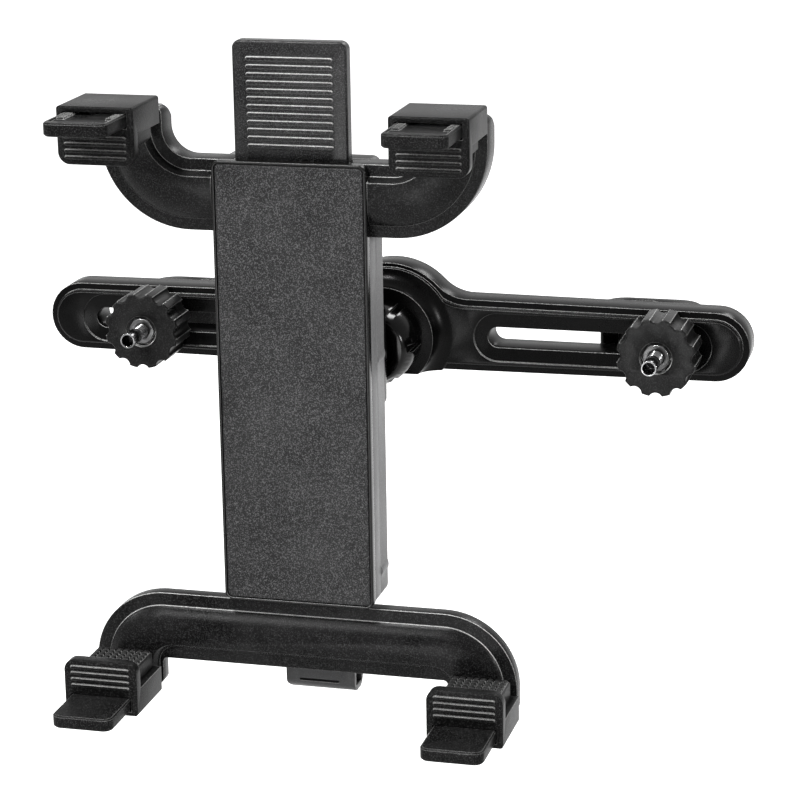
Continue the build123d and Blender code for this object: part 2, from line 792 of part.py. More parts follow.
slide_end_half = slide_width / 2 - 1.0
slide_end_front_y = slide_rear_y - slide_thickness + 1.2
tab_screws = [(cradle_x + tab_x + s * 7.5, lower_arm_bottom + tab_lap / 2) for s in (-1, 1)]
tab_front_y = lower_rear_y
tab_hole_depth = 3.7
with BuildPart() as lower_arm:
    add(
        arm_body(
            (lower_outline, lower_plain, lower_panel),
            (facing_down(arm_base_y, cradle_x, cradle_z), facing_down(lower_rear_y, cradle_x, cradle_z)),
            is_outer_lower,
            is_inner_lower,
            lower_arm_thickness,
            lower_rim,
            lower_slope,
            lower_pocket_depth,
        )
    )
    with BuildSketch(facing(lower_rear_y, cradle_x, lower_middle_z)):
        Rectangle(slide_width + 6.0, lower_arm_top - lower_arm_bottom - 2.0)
    extrude(amount=lower_pocket_depth + 0.5)
    pocket_top = lower_arm_top + 1.0
    pocket_low = slide_foot - fit_clearance
    with BuildSketch(facing(lower_rear_y, cradle_x, (pocket_top + pocket_low) / 2)):
        Rectangle(2 * slide_end_half + 2 * fit_clearance, pocket_top - pocket_low)
    extrude(amount=lower_rear_y - slide_end_front_y + fit_clearance, mode=Mode.SUBTRACT)
    with BuildSketch(facing(slide_end_front_y)):
        with Locations(*slide_screws):
            Circle(screw_radius + fit_clearance)
    extrude(amount=3.6, mode=Mode.SUBTRACT)
    with BuildSketch(facing(lower_rear_y)):
        with Locations(*tab_screws):
            Circle(screw_radius + fit_clearance)
    extrude(amount=tab_hole_depth, mode=Mode.SUBTRACT)
    for side in (-1, 1):
        clamp_x = cradle_x + side * lower_clamp_x
        rib_spots = [(cradle_x + side * (half_spine + 8.0 + 9.0 * i), lower_middle_z) for i in range(3)]
        with BuildSketch(facing(lower_rear_y - 0.6)):
            with Locations(*rib_spots):
                Rectangle(1.2, lower_arm_top - lower_arm_bottom - 3.0)
        extrude(amount=lower_pocket_depth - 0.6)
        with BuildSketch(facing(lower_rear_y, clamp_x, lower_leg_z + 6.0)):
            Rectangle(rail_root_width + 3.0, 12.0)
        extrude(amount=lower_arm_thickness)
        rail_mid = cradle_z - lower_clamp_outer + clamp_roof + rail_clearance + rail_thickness / 2
        with BuildSketch(facing(arm_panel_y + rail_root + fit_clearance, clamp_x, rail_mid)):
            Rectangle(rail_root_width + 2 * fit_clearance, rail_thickness + 2 * fit_clearance)
        extrude(amount=rail_root + 1.0, mode=Mode.SUBTRACT)
        with BuildSketch(Plane.XY.offset(lower_leg_z)):
            with Locations((clamp_x, arm_base_y + pin_depth)):
                Circle(pin_radius + fit_clearance)
        extrude(amount=9.0, mode=Mode.SUBTRACT)
keep(lower_arm.part, "lower_arm")
screws(slide_screws, slide_rear_y - fit_clearance, 7.0, "lower_arm_screws")
tab_screw_length = screw_head_depth + tab_sheet + tab_hole_depth - 0.3
screws(tab_screws, tab_front_y + tab_sheet + screw_head_depth, tab_screw_length, "tab_screws")

# Folded tab: strap screwed behind the lower arm
with BuildPart() as pull_tab:
    tab_low = lower_arm_bottom - tab_drop
    tab_high = lower_arm_bottom + tab_lap
    with BuildSketch(from_side(cradle_x + tab_x - tab_width / 2)):
        with Locations((tab_front_y + tab_depth / 2, (tab_low + tab_high) / 2)):
            fold = Rectangle(tab_depth, tab_high - tab_low)
        fillet(fold.vertices().group_by(Axis.Y)[0], 3.4)
        with Locations((tab_front_y + tab_depth / 2, (tab_low + tab_high) / 2 + tab_sheet)):
            Rectangle(tab_depth - 2 * tab_sheet, tab_high - tab_low, mode=Mode.SUBTRACT)
        with Locations((tab_front_y + tab_depth, tab_high)):
            Rectangle(2 * (tab_depth - tab_sheet), 2 * (tab_lap - 1.0), mode=Mode.SUBTRACT)
    extrude(amount=tab_width)
    with BuildSketch(facing(tab_front_y + tab_depth + 1.0, cradle_x + tab_x, (tab_low + tab_high) / 2)):
        strap = Rectangle(tab_width, tab_high - tab_low)
        fillet(strap.vertices().group_by(Axis.Y)[0].sort_by(Axis.X)[0], tab_corner)
    extrude(amount=tab_depth + 2.0, mode=Mode.INTERSECT)
    with BuildSketch(facing(tab_front_y, cradle_x + tab_x - 0.4, lower_arm_bottom - 5.4)):
        SlotOverall(tab_slit_length, tab_slit_height)
    extrude(amount=-tab_sheet, mode=Mode.SUBTRACT)
    for x, z in tab_screws:
        with Locations(from_behind(tab_front_y + tab_sheet, x, z)):
            Hole(screw_radius + fit_clearance, depth=tab_sheet)
keep(pull_tab.part, "pull_tab")


def rail(x, outer_z, inward, reach, drop, label):
    """Flat rail that stands forward from an arm end; its root sits in the arm, lower by the drop."""
    far_z = outer_z + inward * (clamp_roof + rail_clearance)
    near_z = far_z + inward * rail_thickness
    front_y = arm_panel_y - reach
    rear_y = arm_panel_y - fit_clearance
    with BuildPart() as blade:
        with BuildSketch(Plane.XY.offset(min(far_z, near_z))):
            with Locations((x, (front_y + rear_y) / 2)):
                Rectangle(rail_width, rear_y - front_y)
        extrude(amount=rail_thickness)
        fillet(blade.edges().filter_by(Axis.Z).group_by(Axis.Y)[0], rail_corner)
        bead = blade.faces().filter_by(Axis.Z).edges().filter_by(lambda e: (e @ 0.5).Y < rear_y - 1.0)
        chamfer(bead, 0.5)
        track_y = arm_panel_y - 1.0
        track_front_y = front_y + rail_bead
        with BuildSketch(Plane.XY.offset(far_z)):
            with Locations((x, (track_y + track_front_y) / 2)):
                Rectangle(rail_width - 1.6, track_y - track_front_y)
        extrude(amount=inward * tooth_depth, mode=Mode.SUBTRACT)
        root_z = far_z + inward * drop
        with BuildSketch(Plane.XY.offset(root_z)):
            with Locations((x, rear_y + (rail_root - rail_knee) / 2)):
                Rectangle(rail_root_width, rail_root + rail_knee)
        extrude(amount=inward * rail_thickness)
        if drop > 0:
            with BuildSketch(Plane.XY.offset(far_z)):
                with Locations((x, rear_y - rail_knee / 2)):
                    Rectangle(rail_root_width, rail_knee)
            extrude(amount=inward * (drop + rail_thickness))
        tooth_x = rail_width / 2 - 0.9 - tooth_width / 2
        with BuildSketch(Plane.XY.offset(far_z + inward * tooth_depth)):
            for i in range(tooth_count):
                tooth_y = track_front_y + 8.0 + i * tooth_pitch
                with Locations((x - tooth_x, tooth_y), (x + tooth_x, tooth_y)):
                    Rectangle(tooth_width, tooth_pitch * 0.6)
        extrude(amount=-inward * (tooth_depth - 0.1), taper=16)
        with BuildSketch(Plane.XY.offset(far_z)):
            with Locations((x, arm_base_y + pin_depth)):
                Circle(pin_radius + fit_clearance)
        extrude(amount=inward * (drop + rail_thickness), mode=Mode.SUBTRACT)
    keep(blade.part, label)


def pins(places, outer_z, inward, label):
    """Pins that run along Z through an arm end and the root of its rail."""
    with BuildPart() as pair:
        with BuildSketch(Plane.XY.offset(outer_z + inward * 0.1)):
            with Locations(*places):
                Circle(pin_radius)
        extrude(amount=inward * 8.6)
    keep(pair.part, label)


def clamp(x, outer_z, inward, back_y, label):
    """Sleeve that slides on a rail, with a ribbed lip that holds the tablet's edge."""
    front_y = back_y - clamp_depth
    lip_end = outer_z + inward * clamp_height
    base_end = outer_z + inward * clamp_base
    with BuildPart() as sleeve:
        with BuildSketch(facing(back_y, x, (outer_z + base_end) / 2)):
            Rectangle(clamp_width, clamp_base)
        extrude(amount=clamp_depth)
        with BuildSketch(facing(front_y + clamp_lip, x, (outer_z + lip_end) / 2)):
            face = Rectangle(clamp_width, clamp_height)
            rounded = face.vertices().filter_by(lambda v: abs(v.Y - inward * clamp_height / 2) < 0.01)
            fillet(rounded, lip_corner)
        extrude(amount=clamp_lip)
        fillet(sleeve.edges().filter_by(Axis.Y).filter_by(lambda e: abs((e @ 0.5).Z - outer_z) < 0.01), 0.9)
        fillet(sleeve.faces().sort_by(Axis.Y)[0].edges(), 0.7)
        channel_z = outer_z + inward * (clamp_roof + rail_clearance + rail_thickness / 2)
        with BuildSketch(facing(back_y, x, channel_z)):
            Rectangle(rail_width + 2 * rail_clearance, rail_thickness + 2 * rail_clearance)
        extrude(amount=clamp_depth, mode=Mode.SUBTRACT)
        with BuildSketch(facing(front_y, x)):
            for i in range(front_rib_count):
                with Locations((0, outer_z + inward * (clamp_base + 0.8 + 2.05 * i))):
                    SlotOverall(clamp_width - 4.9, 0.9)
        extrude(amount=0.5)
        with BuildSketch(Plane.XY.offset(base_end)):
            with Locations(*grip_pegs(x, back_y)):
                Circle(grip_peg_radius + fit_clearance)
        extrude(amount=-inward * (grip_peg_depth + 0.1), mode=Mode.SUBTRACT)
    keep(sleeve.part, label)


def grip_pegs(x, back_y):
    """Places of the two pegs below a grip."""
    return [(x + s * 5.5, back_y - (clamp_depth - clamp_lip) / 2) for s in (-1, 1)]


def grip(x, outer_z, inward, back_y, label):
    """Rubber block with rows of knobs that bears on the tablet's edge."""
    base_end = outer_z + inward * clamp_base
    face_z = base_end + inward * grip_thickness
    depth = clamp_depth - clamp_lip - 0.5
    middle_y = back_y - 0.3 - depth / 2
    with BuildPart() as block:
        with BuildSketch(Plane.XY.offset(base_end)):
            with Locations((x, middle_y)):
                Rectangle(grip_width, depth)
        extrude(amount=inward * grip_thickness)
        fillet(block.edges().filter_by(Axis.Z), 0.8)
        pitch_x = grip_width / grip_columns
        pitch_y = depth / grip_rows
        with BuildSketch(Plane.XY.offset(face_z)):
            for row in range(grip_rows):
                shift = pitch_x / 4 if row % 2 else -pitch_x / 4
                for column in range(grip_columns):
                    knob_x = x + (column - (grip_columns - 1) / 2) * pitch_x + shift
                    knob_y = middle_y + (row - (grip_rows - 1) / 2) * pitch_y
                    with Locations((knob_x, knob_y)):
                        Rectangle(pitch_x * 0.62, pitch_y * 0.7)
            with Locations((x, middle_y)):
                Rectangle(grip_width - 0.2, depth - 0.2, mode=Mode.INTERSECT)
        extrude(amount=inward * grip_ridge, taper=14)
        with BuildSketch(Plane.XY.offset(base_end)):
            with Locations(*grip_pegs(x, back_y)):
                Circle(grip_peg_radius)
        extrude(amount=-inward * grip_peg_depth)
    keep(block.part, label)


for height, outer_z, leg_end, inward, spread, clamp_set, reach, drop in (
    (
        "upper",
        cradle_z + upper_clamp_outer,
        cradle_z + upper_leg_top,
        -1,
        upper_clamp_x,
        upper_clamp_set,
        upper_rail_reach,
        rail_drop,
    ),
    (
        "lower",
        cradle_z - lower_clamp_outer,
        lower_leg_z,
        1,
        lower_clamp_x,
        lower_clamp_set,
        lower_rail_reach,
        0.0,
    ),
):
    pin_y = arm_base_y + pin_depth
    pin_spots = [(cradle_x - spread, pin_y), (cradle_x + spread, pin_y)]
    pins(pin_spots, leg_end, inward, height + "_rail_pins")
    for side, hand in ((-1, "left"), (1, "right")):
        x = cradle_x + side * spread
        back_y = arm_panel_y - clamp_set
        rail(x, outer_z, inward, reach, drop, height + "_" + hand + "_rail")
        clamp(x, outer_z, inward, back_y, height + "_" + hand + "_clamp")
        grip(x, outer_z, inward, back_y, height + "_" + hand + "_grip")


def hook(x, inward, label):
    """J hook that draws a headrest post against the back of the bar."""
    post_x = x + inward * post_from_stud
    tip_inner = post_x + inward * hook_pocket
    tip_outer = tip_inner + inward * hook_tip_wall
    back_x = x - inward * hook_outer
    with BuildPart() as jaw:
        with BuildSketch(Plane.XY.offset(-hook_half_height)):
            with BuildLine():
                Polyline(
                    (back_x, hook_front_y),
                    (back_x, hook_rear_y),
                    (tip_outer, hook_rear_y),
                    (tip_outer, hook_tip_front),
                    (post_x, hook_tip_front),
                    (post_x, hook_front_y),
                    close=True,
                )
            make_face()
        extrude(amount=2 * hook_half_height)
        upright = jaw.edges().filter_by(Axis.Z)
        fillet(upright.group_by(Axis.Y)[-1], hook_outer - 0.5)
        tip_edges = jaw.edges().filter_by(Axis.Z).filter_by(
            lambda e: abs((e @ 0.5).X - tip_outer) < 0.01 and abs((e @ 0.5).Y - hook_tip_front) < 0.01
        )
        fillet(tip_edges, 2.6)
        fillet(jaw.faces().filter_by(Axis.Z).edges(), 1.2)
        with BuildSketch(Plane.XY.offset(-hook_half_height)):
            with Locations((post_x, 0)):
                Circle(hook_pocket)
            with Locations((post_x, -hook_pocket)):
                Rectangle(2 * hook_pocket, 2 * hook_pocket)
        extrude(amount=2 * hook_half_height, mode=Mode.SUBTRACT)
        with BuildSketch(facing(hook_front_y, x)):
            guide_height = 2 * (slot_half_height - guide_clearance)
            SlotOverall(2 * guide_half_length, guide_height)
        extrude(amount=guide_depth)
        with BuildSketch(facing(hook_front_y - guide_depth, x)):
            Circle(stud_radius + fit_clearance)
        extrude(amount=-(guide_depth + hook_rear_y - hook_front_y - 2.0), mode=Mode.SUBTRACT)
    keep(jaw.part, label)


def hook_lining(x, inward, label):
    """Rubber liner between a hook and its post."""
    post_x = x + inward * post_from_stud
    with BuildPart() as lining:
        with BuildSketch(Plane.XY.offset(-hook_half_height + 0.8)):
            with Locations((post_x, 0)):
                Circle(hook_pocket - fit_clearance)
                Circle(post_radius + post_gap, mode=Mode.SUBTRACT)
            with Locations((post_x, -hook_pocket)):
                Rectangle(4 * hook_pocket, 2 * hook_pocket, mode=Mode.SUBTRACT)
        extrude(amount=2 * hook_half_height - 1.6)
    keep(lining.part, label)


def stud(x, label):
    """Threaded stud with a drilled end, pressed into the hook."""
    with BuildPart() as rod:
        with BuildSketch(facing(hook_rear_y - 2.0, x)):
            Circle(stud_radius)
        extrude(amount=hook_rear_y - 2.0 - stud_tip_y)
        chamfer(rod.faces().sort_by(Axis.Y)[0].edges(), 0.35)
        with Locations(facing(stud_tip_y, x)):
            Hole(stud_bore, depth=stud_bore_depth)
    keep(rod.part, label)


def washer(x, label):
    """Washer that slides in the recess round the slot."""
    with BuildPart() as ring:
        with BuildSketch(facing(washer_rear_y, x)):
            Circle(washer_radius)
            Circle(stud_radius + 0.15, mode=Mode.SUBTRACT)
        extrude(amount=washer_thickness)
        chamfer(ring.faces().sort_by(Axis.Y)[0].edges().sort_by(SortBy.RADIUS)[-1], 0.25)
    keep(ring.part, label)


def knob(x, label):
    """Scalloped hand knob with a hexagonal pocket for its nut."""
    with BuildPart() as wheel:
        with BuildSketch(facing(knob_rear_y, x)):
            Circle(knob_radius)
            with PolarLocations(knob_radius + scallop_radius - scallop_depth, knob_scallops):
                Circle(scallop_radius, mode=Mode.SUBTRACT)
        extrude(amount=knob_depth)
        fillet(wheel.faces().sort_by(Axis.Y)[0].edges(), 0.5)
        chamfer(wheel.faces().sort_by(Axis.Y)[-1].edges(), 0.5)
        with BuildSketch(facing(knob_front_y, x)):
            Circle(knob_recess_radius)
        extrude(amount=-knob_recess_depth, mode=Mode.SUBTRACT)
        with BuildSketch(facing(knob_front_y + knob_recess_depth, x)):
            RegularPolygon(knob_nut_flats / 2 + fit_clearance, 6, major_radius=False)
        extrude(amount=-knob_nut_thickness, mode=Mode.SUBTRACT)
        with Locations(facing(knob_front_y, x)):
            Hole(stud_radius + 0.15, depth=knob_depth)
    keep(wheel.part, label)


def knob_nut(x, label):
    """Hexagon nut held in the knob."""
    rear_y = knob_front_y + knob_recess_depth + knob_nut_thickness
    front_y = knob_front_y + knob_recess_depth - nut_proud
    flat_x = x + knob_nut_flats / 2
    corner_x = x + knob_nut_flats / sqrt(3) + 0.1
    with BuildPart() as hexagon:
        with BuildSketch(facing(rear_y, x)):
            RegularPolygon(knob_nut_flats / 2, 6, major_radius=False)
            Circle(stud_radius + thread_clearance, mode=Mode.SUBTRACT)
        extrude(amount=rear_y - front_y)
        with BuildSketch(Plane.XY):
            with BuildLine():
                Polyline(
                    (x, rear_y),
                    (flat_x, rear_y),
                    (corner_x, rear_y - 0.5),
                    (corner_x, front_y + 0.5),
                    (flat_x, front_y),
                    (x, front_y),
                    close=True,
                )
            make_face()
        revolve(axis=Axis((x, 0, 0), (0, 1, 0)), mode=Mode.INTERSECT)
    keep(hexagon.part, label)


for hand, x, inward in (
    ("left", hub_x - left_reach, 1),
    ("right", hub_x + right_reach, -1),
):
    hook(x, inward, hand + "_hook")
    hook_lining(x, inward, hand + "_hook_liner")
    stud(x, hand + "_stud")
    washer(x, hand + "_washer")
    knob(x, hand + "_knob")
    knob_nut(x, hand + "_knob_nut")

os.makedirs("parts", exist_ok=True)
for built in pieces:
    export_step(built, "parts/" + built.label + ".step")
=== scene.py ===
import json
import logging
import math
from dataclasses import dataclass
from enum import Enum
from typing import Callable, Optional, Sequence

import bpy
from mathutils import Matrix, Vector


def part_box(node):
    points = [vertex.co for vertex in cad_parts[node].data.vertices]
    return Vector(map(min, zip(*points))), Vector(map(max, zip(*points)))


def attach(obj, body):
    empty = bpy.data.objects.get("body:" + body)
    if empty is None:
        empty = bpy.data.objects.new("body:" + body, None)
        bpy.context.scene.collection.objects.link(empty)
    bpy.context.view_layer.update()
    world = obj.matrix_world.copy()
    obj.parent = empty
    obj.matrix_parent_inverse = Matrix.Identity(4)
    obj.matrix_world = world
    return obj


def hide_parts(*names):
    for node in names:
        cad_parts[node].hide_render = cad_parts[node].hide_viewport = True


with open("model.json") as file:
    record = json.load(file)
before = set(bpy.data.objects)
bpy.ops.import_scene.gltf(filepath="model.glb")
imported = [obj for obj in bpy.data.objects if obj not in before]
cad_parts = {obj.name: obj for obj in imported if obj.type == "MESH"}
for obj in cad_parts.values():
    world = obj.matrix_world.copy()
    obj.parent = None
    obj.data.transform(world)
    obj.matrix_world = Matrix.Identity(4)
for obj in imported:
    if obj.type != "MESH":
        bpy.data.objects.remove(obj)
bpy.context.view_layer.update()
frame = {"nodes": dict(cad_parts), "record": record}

LOG = logging.getLogger("tablet_mount")
MM = 0.001
MERGE_DISTANCE = 0.000002
PLANE_TOLERANCE = 0.00001
FLAT_ANGLE = 0.4
WHITE = (1.0, 1.0, 1.0, 1.0)
HEIGHTS = ("upper", "lower")
SIDES = ("left", "right")
Colour = tuple[float, float, float]
Place = tuple[float, float, float]


class Quality(Enum):
    """How round the turned pieces are made."""

    MEDIUM = 48
    SMALL = 24


class Bench:
    """Selection helpers round bpy.ops, as a modeller would click them."""

    @staticmethod
    def clear() -> None:
        """Leave object mode with nothing selected."""
        if bpy.context.object and bpy.context.object.mode != "OBJECT":
            bpy.ops.object.mode_set(mode="OBJECT")
        bpy.ops.object.select_all(action="DESELECT")

    @staticmethod
    def take(piece: bpy.types.Object) -> None:
        """Select one object alone and make it active."""
        Bench.clear()
        piece.select_set(True)
        bpy.context.view_layer.objects.active = piece

    @staticmethod
    def edit(piece: bpy.types.Object, mode: str = "FACE") -> None:
        """Open one object in edit mode with nothing selected.

        Args:
            piece: The object to edit.
            mode: Select mode, VERT, EDGE or FACE.
        """
        Bench.take(piece)
        bpy.ops.object.mode_set(mode="EDIT")
        bpy.ops.mesh.select_mode(type=mode)
        bpy.ops.mesh.select_all(action="DESELECT")

    @staticmethod
    def pick_faces(
        piece: bpy.types.Object, wanted: Callable[[bpy.types.MeshPolygon], bool]
    ) -> None:
        """Select the faces that a test picks, and nothing else.

        Args:
            piece: The object in edit mode.
            wanted: Test on a polygon of the object's mesh.
        """
        bpy.ops.mesh.select_all(action="DESELECT")
        bpy.ops.object.mode_set(mode="OBJECT")
        for vertex in piece.data.vertices:
            vertex.select = False
        for edge in piece.data.edges:
            edge.select = False
        for polygon in piece.data.polygons:
            polygon.select = wanted(polygon)
        bpy.ops.object.mode_set(mode="EDIT")

    @staticmethod
    def settle(piece: bpy.types.Object) -> bpy.types.Object:
        """Apply the place, turn and scale, so that the object sits at the origin.

        Args:
            piece: The object to settle.

        Returns:
            The same object.
        """
        Bench.take(piece)
        bpy.ops.object.transform_apply(location=True, rotation=True, scale=True)
        return piece

    @staticmethod
    def finish_modifier(piece: bpy.types.Object, kind: str, **settings: object) -> None:
        """Add a modifier, set it up and apply it.

        Args:
            piece: The object that gets the modifier.
            kind: Blender's name of the modifier type.
            settings: Values of the modifier's properties.
        """
        Bench.take(piece)
        modifier = piece.modifiers.new(kind.title(), kind)
        for key, value in settings.items():
            setattr(modifier, key, value)
        bpy.ops.object.modifier_apply(modifier=modifier.name)

    @staticmethod
    def smooth(piece: bpy.types.Object, angle: float) -> None:
        """Shade smooth, with creases above an angle.

        Args:
            piece: The object to shade.
            angle: The angle, in degrees.
        """
        Bench.take(piece)
        bpy.ops.object.shade_smooth_by_angle(angle=math.radians(angle))

    @staticmethod
    def join(pieces: Sequence[bpy.types.Object], name: str) -> bpy.types.Object:
        """Join several objects into the first one.

        Args:
            pieces: The objects to join.
            name: Name of the joined object.

        Returns:
            The joined object.
        """
        Bench.clear()
        for piece in pieces:
            piece.select_set(True)
        bpy.context.view_layer.objects.active = pieces[0]
        bpy.ops.object.join()
        pieces[0].name = name
        return pieces[0]


class Board:
    """A node tree with short calls for adding and wiring its nodes."""

    COLUMN_WIDTH = 180
    COLOUR_FACTOR = 0
    COLOUR_INPUTS = (6, 7)
    COLOUR_RESULT = 2
    VALUE_FACTOR = 0
    VALUE_INPUTS = (2, 3)
    VALUE_RESULT = 0

    def __init__(self, tree: bpy.types.NodeTree) -> None:
        """Take over a tree and empty it."""
        self.tree = tree
        tree.nodes.clear()
        self.column = 0

    def add(self, kind: str, **settings: object) -> bpy.types.Node:
        """Add a node and set its properties.

        Args:
            kind: Blender's node type.
            settings: Property values of the node.

        Returns:
            The new node.
        """
        node = self.tree.nodes.new(kind)
        node.location = (self.column * self.COLUMN_WIDTH, 0)
        self.column += 1
        for key, value in settings.items():
            setattr(node, key, value)
        return node

    def wire(self, start: bpy.types.NodeSocket, end: bpy.types.NodeSocket) -> None:
        """Link an output to an input.

        Args:
            start: The output socket.
            end: The input socket.
        """
        self.tree.links.new(start, end)

    def feed(self, node: bpy.types.Node, **inputs: object) -> bpy.types.Node:
        """Set or link inputs by name, with underscores for spaces.

        Args:
            node: The node whose inputs are set.
            inputs: Socket name to a value or an output socket.

        Returns:
            The same node.
        """
        for key, value in inputs.items():
            socket = node.inputs[key.replace("_", " ")]
            if isinstance(value, bpy.types.NodeSocket):
                self.wire(value, socket)
            else:
                socket.default_value = value
        return node

    def math(self, operation: str, first: object, second: object = 0.0) -> bpy.types.NodeSocket:
        """Add a Math node.

        Args:
            operation: Its operation.
            first: First value or socket.
            second: Second value or socket.

        Returns:
            The result socket.
        """
        node = self.add("ShaderNodeMath", operation=operation)
        for index, value in enumerate((first, second)):
            if isinstance(value, bpy.types.NodeSocket):
                self.wire(value, node.inputs[index])
            else:
                node.inputs[index].default_value = value
        return node.outputs[0]

    def span(
        self,
        value: bpy.types.NodeSocket,
        low: float,
        high: float,
        out_low: float = 0.0,
        out_high: float = 1.0,
    ) -> bpy.types.NodeSocket:
        """Map a range onto another, clamped.

        Args:
            value: Socket to map.
            low: Start of the input range.
            high: End of the input range.
            out_low: Start of the output range.
            out_high: End of the output range.

        Returns:
            The mapped socket.
        """
        node = self.add("ShaderNodeMapRange", clamp=True)
        self.wire(value, node.inputs["Value"])
        node.inputs["From Min"].default_value = low
        node.inputs["From Max"].default_value = high
        node.inputs["To Min"].default_value = out_low
        node.inputs["To Max"].default_value = out_high
        return node.outputs["Result"]

    def blend(
        self, factor: bpy.types.NodeSocket, first: object, second: object
    ) -> bpy.types.NodeSocket:
        """Mix two colours.

        Args:
            factor: Mask from 0 to 1.
            first: Colour or socket where the mask is 0.
            second: Colour or socket where the mask is 1.

        Returns:
            The mixed colour's socket.
        """
        node = self.add("ShaderNodeMix", data_type="RGBA")
        self.wire(factor, node.inputs[self.COLOUR_FACTOR])
        for index, value in zip(self.COLOUR_INPUTS, (first, second)):
            if isinstance(value, bpy.types.NodeSocket):
                self.wire(value, node.inputs[index])
            else:
                node.inputs[index].default_value = (*value, 1.0)
        return node.outputs[self.COLOUR_RESULT]

    def mingle(
        self,
        factor: bpy.types.NodeSocket,
        first: bpy.types.NodeSocket,
        second: bpy.types.NodeSocket,
    ) -> bpy.types.NodeSocket:
        """Mix two values.

        Args:
            factor: Mask from 0 to 1.
            first: Socket where the mask is 0.
            second: Socket where the mask is 1.

        Returns:
            The mixed value's socket.
        """
        node = self.add("ShaderNodeMix", data_type="FLOAT")
        self.wire(factor, node.inputs[self.VALUE_FACTOR])
        for index, value in zip(self.VALUE_INPUTS, (first, second)):
            self.wire(value, node.inputs[index])
        return node.outputs[self.VALUE_RESULT]

    def object_place(self) -> bpy.types.NodeSocket:
        """Add the Object coordinates.

        Returns:
            Their socket.
        """
        return self.add("ShaderNodeTexCoord").outputs["Object"]


